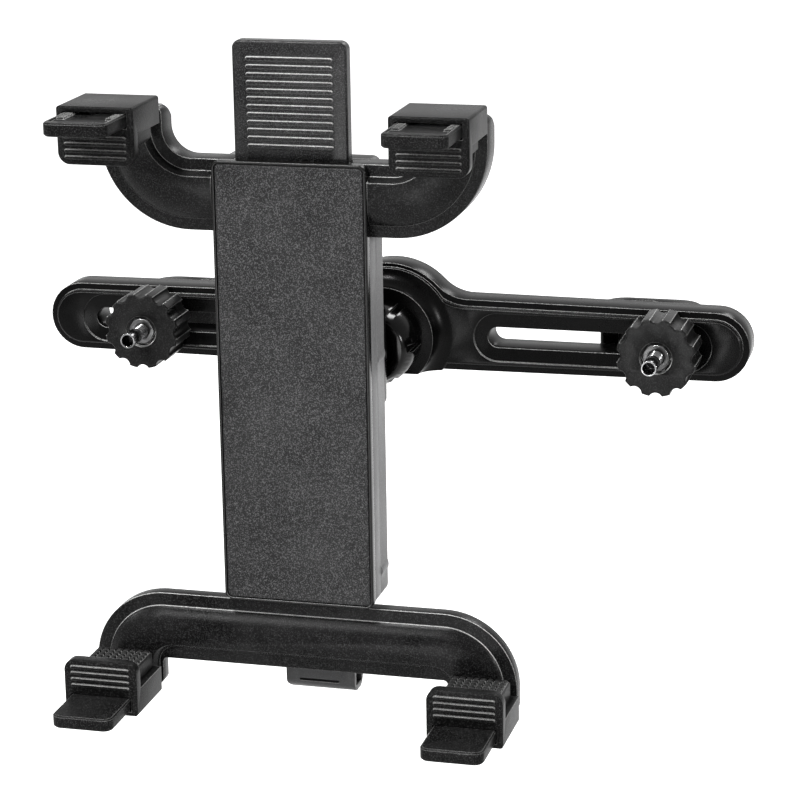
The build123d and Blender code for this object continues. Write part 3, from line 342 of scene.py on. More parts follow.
class EffectShop:
    """Shader node groups that several finishes share."""

    CELL_RATIO = 0.7
    SPECK_RATIO = 1.3
    SCRATCH_STRETCH = (1.0, 0.25, 0.045)
    SCRATCH_TURN = (0.3, 0.5, 0.7)
    LINE_STRETCH = (0.05, 1.0, 0.05)
    ROUNDING_SAMPLES = 8
    HIGHLIGHT_NOISE_SCALE = 1400.0

    def __init__(self) -> None:
        """Build each group once."""
        self.grain = self.make_grain()
        self.handling = self.make_handling()
        self.dust = self.make_dust()
        self.turning = self.make_turning()
        self.edge_highlight = self.make_edge_highlight()

    @staticmethod
    def open_group(
        name: str, inputs: dict[str, float], outputs: Sequence[str]
    ) -> tuple[bpy.types.NodeTree, Board, bpy.types.Node, bpy.types.Node]:
        """Start a node group.

        Args:
            name: Name of the group.
            inputs: Input names with their usual values.
            outputs: Output names.

        Returns:
            The tree, its board, its input node and its output node.
        """
        tree = bpy.data.node_groups.new(name, "ShaderNodeTree")
        for key, value in inputs.items():
            socket = tree.interface.new_socket(
                name=key, in_out="INPUT", socket_type="NodeSocketFloat"
            )
            socket.default_value = value
        for key in outputs:
            tree.interface.new_socket(
                name=key, in_out="OUTPUT", socket_type="NodeSocketFloat"
            )
        board = Board(tree)
        return tree, board, board.add("NodeGroupInput"), board.add("NodeGroupOutput")

    def make_grain(self) -> bpy.types.NodeTree:
        """Moulded grain: raised pebbles with finer roughness on them.

        Returns:
            The group, with Height and Fleck outputs.
        """
        tree, board, given, result = self.open_group(
            "moulded grain", {"Scale": 1500.0, "Pebble": 0.5}, ("Height", "Fleck")
        )
        place = board.object_place()
        fine = board.add("ShaderNodeTexNoise", noise_dimensions="3D")
        board.feed(fine, Vector=place, Scale=given.outputs["Scale"], Detail=2.5, Roughness=0.62)
        cells = board.add("ShaderNodeTexVoronoi", feature="F1", distance="EUCLIDEAN")
        cell_scale = board.math("MULTIPLY", given.outputs["Scale"], self.CELL_RATIO)
        board.feed(cells, Vector=place, Scale=cell_scale, Randomness=1.0)
        pebble = board.span(cells.outputs["Distance"], 0.1, 0.75, 1.0, 0.0)
        noise = board.span(fine.outputs["Fac"], 0.28, 0.72)
        height = board.mingle(given.outputs["Pebble"], noise, pebble)
        board.wire(height, result.inputs["Height"])
        speck = board.add("ShaderNodeTexNoise", noise_dimensions="3D")
        speck_scale = board.math("MULTIPLY", given.outputs["Scale"], self.SPECK_RATIO)
        board.feed(speck, Vector=place, Scale=speck_scale, Detail=1.0, Roughness=0.5)
        fleck = board.span(speck.outputs["Fac"], 0.5, 0.78)
        board.wire(fleck, result.inputs["Fleck"])
        return tree

    def make_handling(self) -> bpy.types.NodeTree:
        """Marks of handling: soft smudges and a few hair scratches.

        Returns:
            The group, with Smudge and Scratch outputs.
        """
        tree, board, given, result = self.open_group(
            "handling marks",
            {"Smudge Scale": 45.0, "Scratch Scale": 260.0},
            ("Smudge", "Scratch"),
        )
        place = board.object_place()
        smudge = board.add("ShaderNodeTexNoise")
        board.feed(
            smudge,
            Vector=place,
            Scale=given.outputs["Smudge Scale"],
            Detail=3.0,
            Roughness=0.55,
        )
        board.wire(board.span(smudge.outputs["Fac"], 0.35, 0.68), result.inputs["Smudge"])
        stretch = board.add("ShaderNodeMapping")
        stretch.inputs["Scale"].default_value = self.SCRATCH_STRETCH
        stretch.inputs["Rotation"].default_value = self.SCRATCH_TURN
        board.wire(place, stretch.inputs["Vector"])
        hair = board.add("ShaderNodeTexNoise")
        board.feed(
            hair,
            Vector=stretch.outputs["Vector"],
            Scale=given.outputs["Scratch Scale"],
            Detail=4.0,
            Roughness=0.7,
        )
        board.wire(board.span(hair.outputs["Fac"], 0.66, 0.74), result.inputs["Scratch"])
        return tree

    def make_dust(self) -> bpy.types.NodeTree:
        """Light dust that lies on what faces upwards.

        Returns:
            The group, with a Dust output.
        """
        tree, board, given, result = self.open_group("light dust", {"Scale": 380.0}, ("Dust",))
        place = board.object_place()
        facing = board.add("ShaderNodeNewGeometry")
        split = board.add("ShaderNodeSeparateXYZ")
        board.wire(facing.outputs["Normal"], split.inputs[0])
        upward = board.span(split.outputs["Z"], 0.15, 0.95)
        motes = board.add("ShaderNodeTexNoise")
        board.feed(motes, Vector=place, Scale=given.outputs["Scale"], Detail=5.0, Roughness=0.7)
        speckle = board.span(motes.outputs["Fac"], 0.42, 0.72)
        board.wire(board.math("MULTIPLY", upward, speckle), result.inputs["Dust"])
        return tree

    def make_turning(self) -> bpy.types.NodeTree:
        """Fine tool lines of turned and rolled metal.

        Returns:
            The group, with a Line output.
        """
        tree, board, given, result = self.open_group("tool lines", {"Scale": 3000.0}, ("Line",))
        place = board.object_place()
        stretch = board.add("ShaderNodeMapping")
        stretch.inputs["Scale"].default_value = self.LINE_STRETCH
        board.wire(place, stretch.inputs["Vector"])
        lines = board.add("ShaderNodeTexNoise")
        board.feed(
            lines,
            Vector=stretch.outputs["Vector"],
            Scale=given.outputs["Scale"],
            Detail=3.0,
            Roughness=0.6,
        )
        board.wire(board.span(lines.outputs["Fac"], 0.3, 0.7), result.inputs["Line"])
        return tree

    def make_edge_highlight(self) -> bpy.types.NodeTree:
        """Painted edge highlight: edges paled towards white in the colour, more so where they
        face upwards as if lit from above, and their rounded normal.

        Returns:
            The group, with Edge and Normal outputs.
        """
        tree, board, given, result = self.open_group("painted edge highlight", {"Radius": 0.0005}, ("Edge",))
        tree.interface.new_socket(
            name="Normal", in_out="OUTPUT", socket_type="NodeSocketVector"
        )
        rounding = board.add("ShaderNodeBevel", samples=self.ROUNDING_SAMPLES)
        board.wire(given.outputs["Radius"], rounding.inputs["Radius"])
        flat = board.add("ShaderNodeNewGeometry")
        turned = board.add("ShaderNodeVectorMath", operation="DOT_PRODUCT")
        board.wire(rounding.outputs["Normal"], turned.inputs[0])
        board.wire(flat.outputs["Normal"], turned.inputs[1])
        bend = board.span(turned.outputs["Value"], 0.995, 0.86)
        split = board.add("ShaderNodeSeparateXYZ")
        board.wire(rounding.outputs["Normal"], split.inputs[0])
        upward = board.span(split.outputs["Z"], -0.1, 0.55, 0.12, 1.0)
        # Noise that makes the painted edge highlight uneven along the edges.
        highlight_strength = board.add("ShaderNodeTexNoise")
        board.feed(highlight_strength, Vector=board.object_place(), Scale=self.HIGHLIGHT_NOISE_SCALE, Detail=2.0)
        uneven = board.span(highlight_strength.outputs["Fac"], 0.25, 0.6, 0.45, 1.0)
        # Painted highlight: this mask marks the edges that are paled in place of reflections of
        # the lamps, strongest where they face up.
        edge = board.math("MULTIPLY", board.math("MULTIPLY", bend, upward), uneven)
        board.wire(edge, result.inputs["Edge"])
        board.wire(rounding.outputs["Normal"], result.inputs["Normal"])
        return tree


@dataclass(frozen=True)
class PlasticFinish:
    """Moulded plastic or rubber: colour, gloss, grain and painted edge highlights.

    The grain's depth is in metres and the rounding of the edges in millimetres.
    """

    name: str
    dark: Colour
    light: Colour
    roughness: tuple[float, float]
    grain_scale: float
    grain_depth: float
    pebble: float
    fleck: float
    specular: float = 0.5
    dust: float = 0.005
    scratch: float = 0.1
    edge: float = 0.4
    edge_light: float = 0.5
    smudge: float = 0.1
    dust_colour: Colour = (0.32, 0.31, 0.3)
    # Colour of the painted edge highlight.
    highlight_colour: Colour = (0.75, 0.75, 0.74)
    scratch_gain: float = 2.2
    scratch_lift: float = 0.02
    dust_roughness: float = 0.4

    def make(self, effects: EffectShop) -> bpy.types.Material:
        """Build the material.

        Args:
            effects: The shared node groups.

        Returns:
            The material.
        """
        material = bpy.data.materials.new(self.name)
        material.use_nodes = True
        board = Board(material.node_tree)
        grain = board.add("ShaderNodeGroup", node_tree=effects.grain)
        board.feed(grain, Scale=self.grain_scale, Pebble=self.pebble)
        marks = board.add("ShaderNodeGroup", node_tree=effects.handling)
        dust = board.add("ShaderNodeGroup", node_tree=effects.dust)
        fleck = board.math("MULTIPLY", grain.outputs["Fleck"], self.fleck)
        smudged = board.math("MULTIPLY", marks.outputs["Smudge"], self.smudge)
        shade = board.math("MINIMUM", board.math("ADD", fleck, smudged), 1.0)
        colour = board.blend(shade, self.dark, self.light)
        dusty = board.math("MULTIPLY", dust.outputs["Dust"], self.dust)
        colour = board.blend(dusty, colour, self.dust_colour)
        worn = board.math("MULTIPLY", marks.outputs["Scratch"], self.scratch)
        paler = tuple(
            min(1.0, self.scratch_gain * level + self.scratch_lift) for level in self.light
        )
        colour = board.blend(worn, colour, paler)
        # Painted highlight: the colour is paled at edges, most where they face up, in place of
        # reflections of the lamps on rounded edges.
        edge_highlight = board.add("ShaderNodeGroup", node_tree=effects.edge_highlight)
        board.feed(edge_highlight, Radius=self.edge * MM)
        highlight_strength = board.math("MULTIPLY", edge_highlight.outputs["Edge"], self.edge_light)
        colour = board.blend(highlight_strength, colour, self.highlight_colour)
        rough = board.span(marks.outputs["Smudge"], 0.0, 1.0, *self.roughness)
        dulled = board.math("MULTIPLY", dusty, self.dust_roughness)
        rough = board.math("MINIMUM", board.math("ADD", rough, dulled), 1.0)
        bump = board.add("ShaderNodeBump")
        bump.inputs["Distance"].default_value = self.grain_depth
        board.wire(grain.outputs["Height"], bump.inputs["Height"])
        board.wire(edge_highlight.outputs["Normal"], bump.inputs["Normal"])
        shader = board.add("ShaderNodeBsdfPrincipled")
        board.feed(shader, Base_Color=colour, Roughness=rough, Normal=bump.outputs["Normal"])
        shader.inputs["Specular IOR Level"].default_value = self.specular
        out = board.add("ShaderNodeOutputMaterial")
        board.wire(shader.outputs[0], out.inputs[0])
        return material


@dataclass(frozen=True)
class MetalFinish:
    """Plated or blackened steel with fine tool lines and painted edge highlights.

    The lines' depth is in metres and the rounding of the edges in millimetres.
    """

    name: str
    colour: Colour
    tarnish: Colour
    roughness: tuple[float, float]
    line_scale: float = 3000.0
    line_depth: float = 0.000004
    smudge_scale: float = 220.0
    edge: float = 0.3
    edge_light: float = 0.8
    # Colour of the painted edge highlight.
    highlight_colour: Colour = (0.9, 0.9, 0.9)

    def make(self, effects: EffectShop) -> bpy.types.Material:
        """Build the material.

        Args:
            effects: The shared node groups.

        Returns:
            The material.
        """
        material = bpy.data.materials.new(self.name)
        material.use_nodes = True
        board = Board(material.node_tree)
        lines = board.add("ShaderNodeGroup", node_tree=effects.turning)
        board.feed(lines, Scale=self.line_scale)
        marks = board.add("ShaderNodeGroup", node_tree=effects.handling)
        board.feed(marks, Smudge_Scale=self.smudge_scale)
        colour = board.blend(marks.outputs["Smudge"], self.colour, self.tarnish)
        # Painted highlight: the colour is paled at edges, most where they face up, in place of
        # reflections of the lamps on rounded edges.
        edge_highlight = board.add("ShaderNodeGroup", node_tree=effects.edge_highlight)
        board.feed(edge_highlight, Radius=self.edge * MM)
        highlight_strength = board.math("MULTIPLY", edge_highlight.outputs["Edge"], self.edge_light)
        colour = board.blend(highlight_strength, colour, self.highlight_colour)
        rough = board.span(lines.outputs["Line"], 0.0, 1.0, *self.roughness)
        bump = board.add("ShaderNodeBump")
        board.wire(edge_highlight.outputs["Normal"], bump.inputs["Normal"])
        bump.inputs["Distance"].default_value = self.line_depth
        board.wire(lines.outputs["Line"], bump.inputs["Height"])
        shader = board.add("ShaderNodeBsdfPrincipled")
        board.feed(shader, Base_Color=colour, Roughness=rough, Normal=bump.outputs["Normal"])
        shader.inputs["Metallic"].default_value = 1.0
        out = board.add("ShaderNodeOutputMaterial")
        board.wire(shader.outputs[0], out.inputs[0])
        return material


class Finish(Enum):
    """Every finish of the object, by the record's slot or by its own piece."""

    BAR = PlasticFinish(
        "bar_plastic",
        dark=(0.0006, 0.0006, 0.0006),
        light=(0.006, 0.006, 0.006),
        roughness=(0.22, 0.29),
        specular=0.045,
        scratch=0.02,
        edge=0.45,
        edge_light=0.55,
        grain_scale=2300.0,
        grain_depth=0.000008,
        pebble=0.3,
        fleck=0.4,
    )
    NUT = PlasticFinish(
        "nut_plastic",
        dark=(0.0006, 0.0006, 0.0006),
        light=(0.002, 0.002, 0.002),
        roughness=(0.12, 0.18),
        specular=0.1,
        edge_light=0.15,
        grain_scale=1900.0,
        grain_depth=0.000004,
        pebble=0.2,
        fleck=0.2,
    )
    KNOB = PlasticFinish(
        "knob_plastic",
        dark=(0.003, 0.003, 0.003),
        light=(0.03, 0.03, 0.03),
        roughness=(0.24, 0.32),
        specular=0.05,
        dust=0.01,
        edge=0.55,
        edge_light=1.0,
        grain_scale=2600.0,
        grain_depth=0.00001,
        pebble=0.3,
        fleck=0.6,
    )
    BALL = PlasticFinish(
        "ball_plastic",
        dark=(0.001, 0.001, 0.001),
        light=(0.003, 0.003, 0.003),
        roughness=(0.12, 0.2),
        specular=0.1,
        edge=0.5,
        edge_light=0.1,
        grain_scale=1500.0,
        grain_depth=0.000002,
        pebble=0.1,
        fleck=0.1,
    )
    NYLON = PlasticFinish(
        "nylon",
        dark=(0.45, 0.44, 0.4),
        light=(0.6, 0.59, 0.55),
        roughness=(0.35, 0.45),
        dust=0.02,
        edge=0.5,
        edge_light=0.1,
        grain_scale=900.0,
        grain_depth=0.000008,
        pebble=0.1,
        fleck=0.3,
    )
    # Painted sheen: this grey matches the tone of the shell's brightly lit side and stands in
    # for light reflected by darker plastic, so it is lighter than the shell's own colour.
    SHELL = PlasticFinish(
        "shell_plastic",
        dark=(0.1, 0.1, 0.101),
        light=(0.23, 0.23, 0.232),
        roughness=(0.4, 0.52),
        specular=0.2,
        dust=0.03,
        edge=0.3,
        edge_light=0.3,
        grain_scale=1700.0,
        grain_depth=0.00003,
        pebble=0.4,
        fleck=0.5,
    )
    COVER = PlasticFinish(
        "cover_plastic",
        dark=(0.002, 0.002, 0.002),
        light=(0.01, 0.01, 0.01),
        roughness=(0.2, 0.28),
        specular=0.15,
        dust=0.02,
        edge_light=0.4,
        grain_scale=1700.0,
        grain_depth=0.00001,
        pebble=0.3,
        fleck=0.3,
    )
    PAD = PlasticFinish(
        "pad_plastic",
        dark=(0.004, 0.004, 0.0042),
        light=(0.09, 0.09, 0.0915),
        roughness=(0.4, 0.5),
        specular=0.12,
        dust=0.01,
        scratch=0.01,
        edge=0.3,
        edge_light=0.1,
        grain_scale=2600.0,
        grain_depth=0.00011,
        pebble=0.25,
        fleck=1.0,
    )
    ARM = PlasticFinish(
        "arm_plastic",
        dark=(0.0006, 0.0006, 0.0006),
        light=(0.05, 0.05, 0.0505),
        roughness=(0.22, 0.3),
        specular=0.06,
        scratch=0.02,
        edge=0.5,
        edge_light=0.9,
        grain_scale=2300.0,
        grain_depth=0.00003,
        pebble=0.2,
        fleck=0.45,
    )
    SLIDE = PlasticFinish(
        "slide_plastic",
        dark=(0.003, 0.003, 0.0031),
        light=(0.055, 0.055, 0.056),
        roughness=(0.24, 0.32),
        specular=0.12,
        dust=0.01,
        edge=0.45,
        edge_light=0.8,
        grain_scale=2300.0,
        grain_depth=0.00004,
        pebble=0.4,
        fleck=0.9,
    )
    TAB = PlasticFinish(
        "tab_plastic",
        dark=(0.01, 0.01, 0.0105),
        light=(0.04, 0.04, 0.042),
        roughness=(0.36, 0.46),
        specular=0.2,
        dust=0.01,
        edge=0.3,
        edge_light=0.4,
        grain_scale=1700.0,
        grain_depth=0.00003,
        pebble=0.3,
        fleck=0.45,
    )
    CLAMP = PlasticFinish(
        "clamp_plastic",
        dark=(0.003, 0.003, 0.003),
        light=(0.038, 0.038, 0.0383),
        roughness=(0.26, 0.34),
        specular=0.02,
        scratch=0.03,
        edge=0.5,
        grain_scale=1900.0,
        grain_depth=0.00003,
        pebble=0.35,
        fleck=0.8,
    )
    RUBBER = PlasticFinish(
        "grip_rubber",
        dark=(0.006, 0.006, 0.006),
        light=(0.04, 0.04, 0.04),
        roughness=(0.45, 0.55),
        specular=0.1,
        dust=0.02,
        edge_light=0.3,
        grain_scale=1900.0,
        grain_depth=0.00003,
        pebble=0.5,
        fleck=0.7,
    )
    STEEL = MetalFinish(
        "steel",
        colour=(0.16, 0.16, 0.163),
        tarnish=(0.07, 0.07, 0.071),
        roughness=(0.16, 0.26),
    )
    NUT_STEEL = MetalFinish(
        "nut_steel",
        colour=(0.09, 0.09, 0.091),
        tarnish=(0.04, 0.04, 0.04),
        roughness=(0.3, 0.42),
    )
    SCREW = MetalFinish(
        "screw_steel",
        colour=(0.08, 0.08, 0.083),
        tarnish=(0.04, 0.04, 0.04),
        roughness=(0.25, 0.4),
    )


@dataclass(frozen=True)
class DressedPart:
    """A CAD node shown as a merged copy with softened edges.

    The softening is in millimetres, and edges turn sharp above an angle in degrees.
    """

    node: str
    soften: float
    sharp: float = 28.0
    segments: int = 2
    smooth_angle: float = 40.0

    def build(self) -> bpy.types.Object:
        """Merge a copy of the node's mesh and round its edges.

        Returns:
            The finished object, at the origin.
        """
        mesh = frame["nodes"][self.node].data.copy()
        piece = bpy.data.objects.new(self.node + "_skin", mesh)
        bpy.context.collection.objects.link(piece)
        Bench.take(piece)
        if mesh.has_custom_normals:
            bpy.ops.mesh.customdata_custom_splitnormals_clear()
        bpy.ops.object.mode_set(mode="EDIT")
        bpy.ops.mesh.select_all(action="SELECT")
        bpy.ops.mesh.remove_doubles(threshold=MERGE_DISTANCE)
        bpy.ops.mesh.dissolve_limited(angle_limit=math.radians(FLAT_ANGLE))
        bpy.ops.object.mode_set(mode="OBJECT")
        Bench.finish_modifier(
            piece,
            "BEVEL",
            width=self.soften * MM,
            segments=self.segments,
            limit_method="ANGLE",
            angle_limit=math.radians(self.sharp),
            use_clamp_overlap=True,
            miter_outer="MITER_ARC",
        )
        Bench.smooth(piece, self.smooth_angle)
        return piece


@dataclass(frozen=True)
class Grip:
    """A rubber block with rows of low rounded knobs, held in a clamp.

    Each step of a knob is an inset and the share of the height that it rises, and
    sizes are in millimetres.
    """

    node: str
    knobs_up: bool
    cuts: int = 7
    knob_height: float = 0.9
    corner: float = 0.5
    corner_segments: int = 3
    smooth_angle: float = 60.0
    steps: tuple[tuple[float, float], ...] = (
        (0.12, 0.0),
        (0.14, 0.4),
        (0.24, 0.32),
        (0.3, 0.16),
    )
    least_face: float = 0.0001

    def build(self) -> bpy.types.Object:
        """Model the block, divide its gripping face and raise a knob on each field.

        Returns:
            The finished block, at the origin.
        """
        low, high = (Vector(corner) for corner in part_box(self.node))
        rise = self.knob_height * MM
        if self.knobs_up:
            high.z -= rise
        else:
            low.z += rise
        Bench.clear()
        bpy.ops.mesh.primitive_cube_add(size=1.0, location=(low + high) / 2)
        piece = bpy.context.object
        piece.name = self.node + "_block"
        piece.scale = high - low
        Bench.settle(piece)
        Bench.finish_modifier(
            piece,
            "BEVEL",
            width=self.corner * MM,
            segments=self.corner_segments,
            limit_method="ANGLE",
        )
        face_z = high.z if self.knobs_up else low.z
        Bench.edit(piece)
        Bench.pick_faces(
            piece,
            lambda face: abs(face.center.z - face_z) < PLANE_TOLERANCE
            and face.area > self.least_face,
        )
        bpy.ops.mesh.subdivide(number_cuts=self.cuts)
        whole = sum(share for _, share in self.steps)
        for inset, share in self.steps:
            bpy.ops.mesh.inset(
                thickness=inset * MM, depth=share * rise / whole, use_individual=True
            )
        bpy.ops.object.mode_set(mode="OBJECT")
        Bench.smooth(piece, self.smooth_angle)
        return piece


@dataclass(frozen=True)
class ThreadedStud:
    """A steel stud with a thin-walled open end and a thread that runs into the knob.

    Sizes are in millimetres, and the thread starts at a y of the frame.
    """

    node: str
    radius: float = 2.45
    bore: float = 1.95
    bore_depth: float = 9.0
    rim: float = 0.12
    core: float = 2.1
    chamfer: float = 0.3
    pitch: float = 0.8
    turns: int = 16
    flank: float = 0.42
    root_depth: float = 0.1
    thread_start: float = -39.5
    sleeve_lap: float = 0.2
    thread_gap: float = 0.1
    smooth_angle: float = 35.0

    def place(self) -> tuple[float, float, float]:
        """Read the stud's axis and length from its CAD node.

        Returns:
            The axis' x, and the front and rear y, in metres.
        """
        low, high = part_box(self.node)
        return (low[0] + high[0]) / 2, low[1], high[1]

    def turn_bar(self, x: float, front: float, rear: float, radius: float) -> bpy.types.Object:
        """Turn a plain round bar along Y.

        Args:
            x: Axis position.
            front: Front end.
            rear: Rear end.
            radius: Radius, in millimetres.

        Returns:
            The bar.
        """
        Bench.clear()
        bpy.ops.mesh.primitive_cylinder_add(
            vertices=Quality.MEDIUM.value,
            radius=radius * MM,
            depth=rear - front,
            location=(x, (front + rear) / 2, 0.0),
            rotation=(math.pi / 2, 0.0, 0.0),
        )
        return Bench.settle(bpy.context.object)

    def make_sleeve(self, x: float, front: float, rear: float) -> bpy.types.Object:
        """Turn the smooth sleeve with its bore.

        Args:
            x: Axis position.
            front: Front end.
            rear: Rear end, where the thread starts.

        Returns:
            The sleeve.
        """
        piece = self.turn_bar(x, front, rear, self.radius)
        Bench.edit(piece)
        Bench.pick_faces(piece, lambda face: face.center.y < front + PLANE_TOLERANCE)
        bpy.ops.mesh.inset(thickness=(self.radius - self.bore) * MM)
        inwards = (0.0, self.bore_depth * MM, 0.0)
        bpy.ops.mesh.extrude_region_move(TRANSFORM_OT_translate={"value": inwards})
        bpy.ops.object.mode_set(mode="OBJECT")
        Bench.finish_modifier(
            piece, "BEVEL", width=self.rim * MM, segments=2, limit_method="ANGLE"
        )
        return piece

    def make_core(self, x: float, front: float, rear: float) -> bpy.types.Object:
        """Turn the core under the thread, with chamfered ends.

        Args:
            x: Axis position.
            front: Front end, inside the sleeve's solid part.
            rear: Rear end of the stud.

        Returns:
            The core.
        """
        piece = self.turn_bar(x, front, rear, self.core)
        Bench.finish_modifier(
            piece, "BEVEL", width=self.chamfer * MM, segments=2, limit_method="ANGLE"
        )
        return piece

    def make_thread(self, x: float, start: float) -> bpy.types.Object:
        """Wind one ridge round the core.

        Args:
            x: Axis position.
            start: Where the first turn begins.

        Returns:
            The ridge.
        """
        root = self.core - self.root_depth
        height, half = self.radius - root, self.pitch * self.flank
        Bench.clear()
        bpy.ops.mesh.primitive_circle_add(
            vertices=3,
            radius=MM,
            fill_type="NOTHING",
            location=((root + height / 3) * MM, 0.0, 0.0),
            rotation=(0.0, 0.0, -math.pi / 2),
        )
        piece = bpy.context.object
        piece.scale = (half / math.sin(math.pi / 3), height / 1.5, 1.0)
        Bench.settle(piece)
        Bench.finish_modifier(
            piece,
            "SCREW",
            axis="Y",
            screw_offset=self.pitch * MM,
            angle=2 * math.pi,
            iterations=self.turns,
            steps=Quality.SMALL.value,
            render_steps=Quality.SMALL.value,
            use_smooth_shade=False,
        )
        Bench.edit(piece, "VERT")
        bpy.ops.mesh.select_all(action="SELECT")
        bpy.ops.mesh.fill_holes(sides=3)
        bpy.ops.mesh.select_all(action="SELECT")
        bpy.ops.mesh.normals_make_consistent(inside=False)
        bpy.ops.object.mode_set(mode="OBJECT")
        along = [vertex.co.y for vertex in piece.data.vertices]
        piece.location = (x, start - min(along), 0.0)
        return Bench.settle(piece)

    def build(self) -> bpy.types.Object:
        """Put sleeve, core and thread together.

        Returns:
            The finished stud, at the origin.
        """
        x, front, rear = self.place()
        start = self.thread_start * MM
        solid = start + self.thread_gap * MM
        sleeve = self.make_sleeve(x, front, start + self.sleeve_lap * MM)
        core = self.make_core(x, solid, rear)
        thread = self.make_thread(x, solid)
        piece = Bench.join((core, sleeve, thread), self.node + "_turned")
        Bench.smooth(piece, self.smooth_angle)
        return piece


@dataclass(frozen=True)
class Lamp:
    """One square soft box: place and aim in metres, power in watts."""

    name: str
    place: Place
    size: float
    power: float
    aim: Place = (-0.01, -0.06, 0.0)


class Studio:
    """Camera, lights, floor and world, with angles in degrees."""

    LAMPS = (
        Lamp("top_box", (-0.3, -0.5, 1.1), 0.16, 20.0),
        Lamp("right_box", (1.25, -0.45, 0.3), 0.16, 12.0),
        Lamp("front_box", (-0.6, -1.4, 0.9), 0.3, 16.0),
        Lamp("left_box", (-1.2, -0.45, 0.5), 0.16, 6.0),
        Lamp("rear_box", (0.4, 1.3, 1.0), 0.4, 9.0),
        Lamp("low_box", (-0.1, -1.25, -0.28), 0.3, 5.0, (0.09, -0.02, -0.01)),
    )
    FLOOR_Z = -0.35
    FLOOR_SIZE = 24.0
    FLOOR_CELLS = 8
    FLOOR_TONE = (0.9, 0.9, 0.9, 1.0)
    FLOOR_GLOW = (0.55, 1.0)
    GLOW_REACH = (0.45, 1.5)
    WORLD_LIGHT = 0.25
    AZIMUTH = 15.075
    ELEVATION = 15.79
    ROLL = -0.9
    DISTANCE = 0.8622
    LENS = 125.67
    SENSOR = 36.0
    CLIP = (0.05, 30.0)
    TARGET = (0.01154, -0.0681, -0.00827)

    def make_camera(self) -> None:
        """Place the camera where the photograph was taken from."""
        angles = (self.AZIMUTH, self.ELEVATION, self.ROLL)
        turn, rise, roll = (math.radians(angle) for angle in angles)
        level = Vector((math.sin(turn), -math.cos(turn), 0.0)) * math.cos(rise)
        back = level + Vector((0.0, 0.0, math.sin(rise)))
        right = Vector((math.cos(turn), math.sin(turn), 0.0))
        up = back.cross(right)
        right_rolled = right * math.cos(roll) + up * math.sin(roll)
        up_rolled = up * math.cos(roll) - right * math.sin(roll)
        data = bpy.data.cameras.new("photo_camera")
        data.lens = self.LENS
        data.sensor_width = self.SENSOR
        data.clip_start, data.clip_end = self.CLIP
        camera = bpy.data.objects.new("photo_camera", data)
        bpy.context.collection.objects.link(camera)
        place = Vector(self.TARGET) + back * self.DISTANCE
        axes = Matrix((right_rolled, up_rolled, back)).transposed()
        camera.matrix_world = Matrix.Translation(place) @ axes.to_4x4()
        bpy.context.scene.camera = camera

    def make_lamps(self) -> None:
        """Hang the soft boxes."""
        for lamp in self.LAMPS:
            data = bpy.data.lights.new(lamp.name, "AREA")
            data.shape = "SQUARE"
            data.size = lamp.size
            data.energy = lamp.power
            holder = bpy.data.objects.new(lamp.name, data)
            bpy.context.collection.objects.link(holder)
            holder.location = lamp.place
            aim = Vector(lamp.aim) - Vector(lamp.place)
            holder.rotation_euler = aim.to_track_quat("-Z", "Y").to_euler()

    @staticmethod
    def seen_rays(board: Board) -> bpy.types.NodeSocket:
        """Tell the rays that show a surface from those that light one.

        Args:
            board: The board of the tree that asks.

        Returns:
            A socket that is 1 for camera, glossy and transmission rays.
        """
        path = board.add("ShaderNodeLightPath")
        seen = path.outputs["Is Camera Ray"]
        for kind in ("Is Glossy Ray", "Is Transmission Ray"):
            seen = board.math("MAXIMUM", seen, path.outputs[kind])
        return seen

    def make_floor(self) -> None:
        """Lay a wide pale floor that shows white to the camera and keeps its shadow."""
        Bench.clear()
        bpy.ops.mesh.primitive_grid_add(
            x_subdivisions=self.FLOOR_CELLS,
            y_subdivisions=self.FLOOR_CELLS,
            size=self.FLOOR_SIZE,
            location=(0.0, 0.0, self.FLOOR_Z),
        )
        floor = bpy.context.object
        floor.name = "studio_floor"
        material = bpy.data.materials.new("studio_floor")
        material.use_nodes = True
        board = Board(material.node_tree)
        seen = self.seen_rays(board)
        away = board.add("ShaderNodeVectorMath", operation="LENGTH")
        board.wire(board.object_place(), away.inputs[0])
        paler = board.span(away.outputs["Value"], *self.GLOW_REACH, *self.FLOOR_GLOW)
        glow = board.math("MULTIPLY", seen, paler)
        shader = board.add("ShaderNodeBsdfPrincipled")
        shader.inputs["Base Color"].default_value = self.FLOOR_TONE
        shader.inputs["Roughness"].default_value = 0.9
        shader.inputs["Specular IOR Level"].default_value = 0.1
        shader.inputs["Emission Color"].default_value = WHITE
        board.wire(glow, shader.inputs["Emission Strength"])
        out = board.add("ShaderNodeOutputMaterial")
        board.wire(shader.outputs[0], out.inputs[0])
        floor.data.materials.append(material)

    def make_world(self) -> None:
        """White to the camera and in reflections, softer as light."""
        world = bpy.data.worlds.new("studio_world")
        bpy.context.scene.world = world
        world.use_nodes = True
        board = Board(world.node_tree)
        mix = board.add("ShaderNodeMixShader")
        board.wire(self.seen_rays(board), mix.inputs[0])
        for index, strength in enumerate((self.WORLD_LIGHT, 1.0), start=1):
            sky = board.add("ShaderNodeBackground")
            board.feed(sky, Color=WHITE, Strength=strength)
            board.wire(sky.outputs[0], mix.inputs[index])
        out = board.add("ShaderNodeOutputWorld")
        board.wire(mix.outputs[0], out.inputs[0])

    def build(self) -> None:
        """Set up the whole studio."""
        bpy.context.scene.view_settings.view_transform = "Standard"
        self.make_world()
        self.make_floor()
        self.make_lamps()
        self.make_camera()


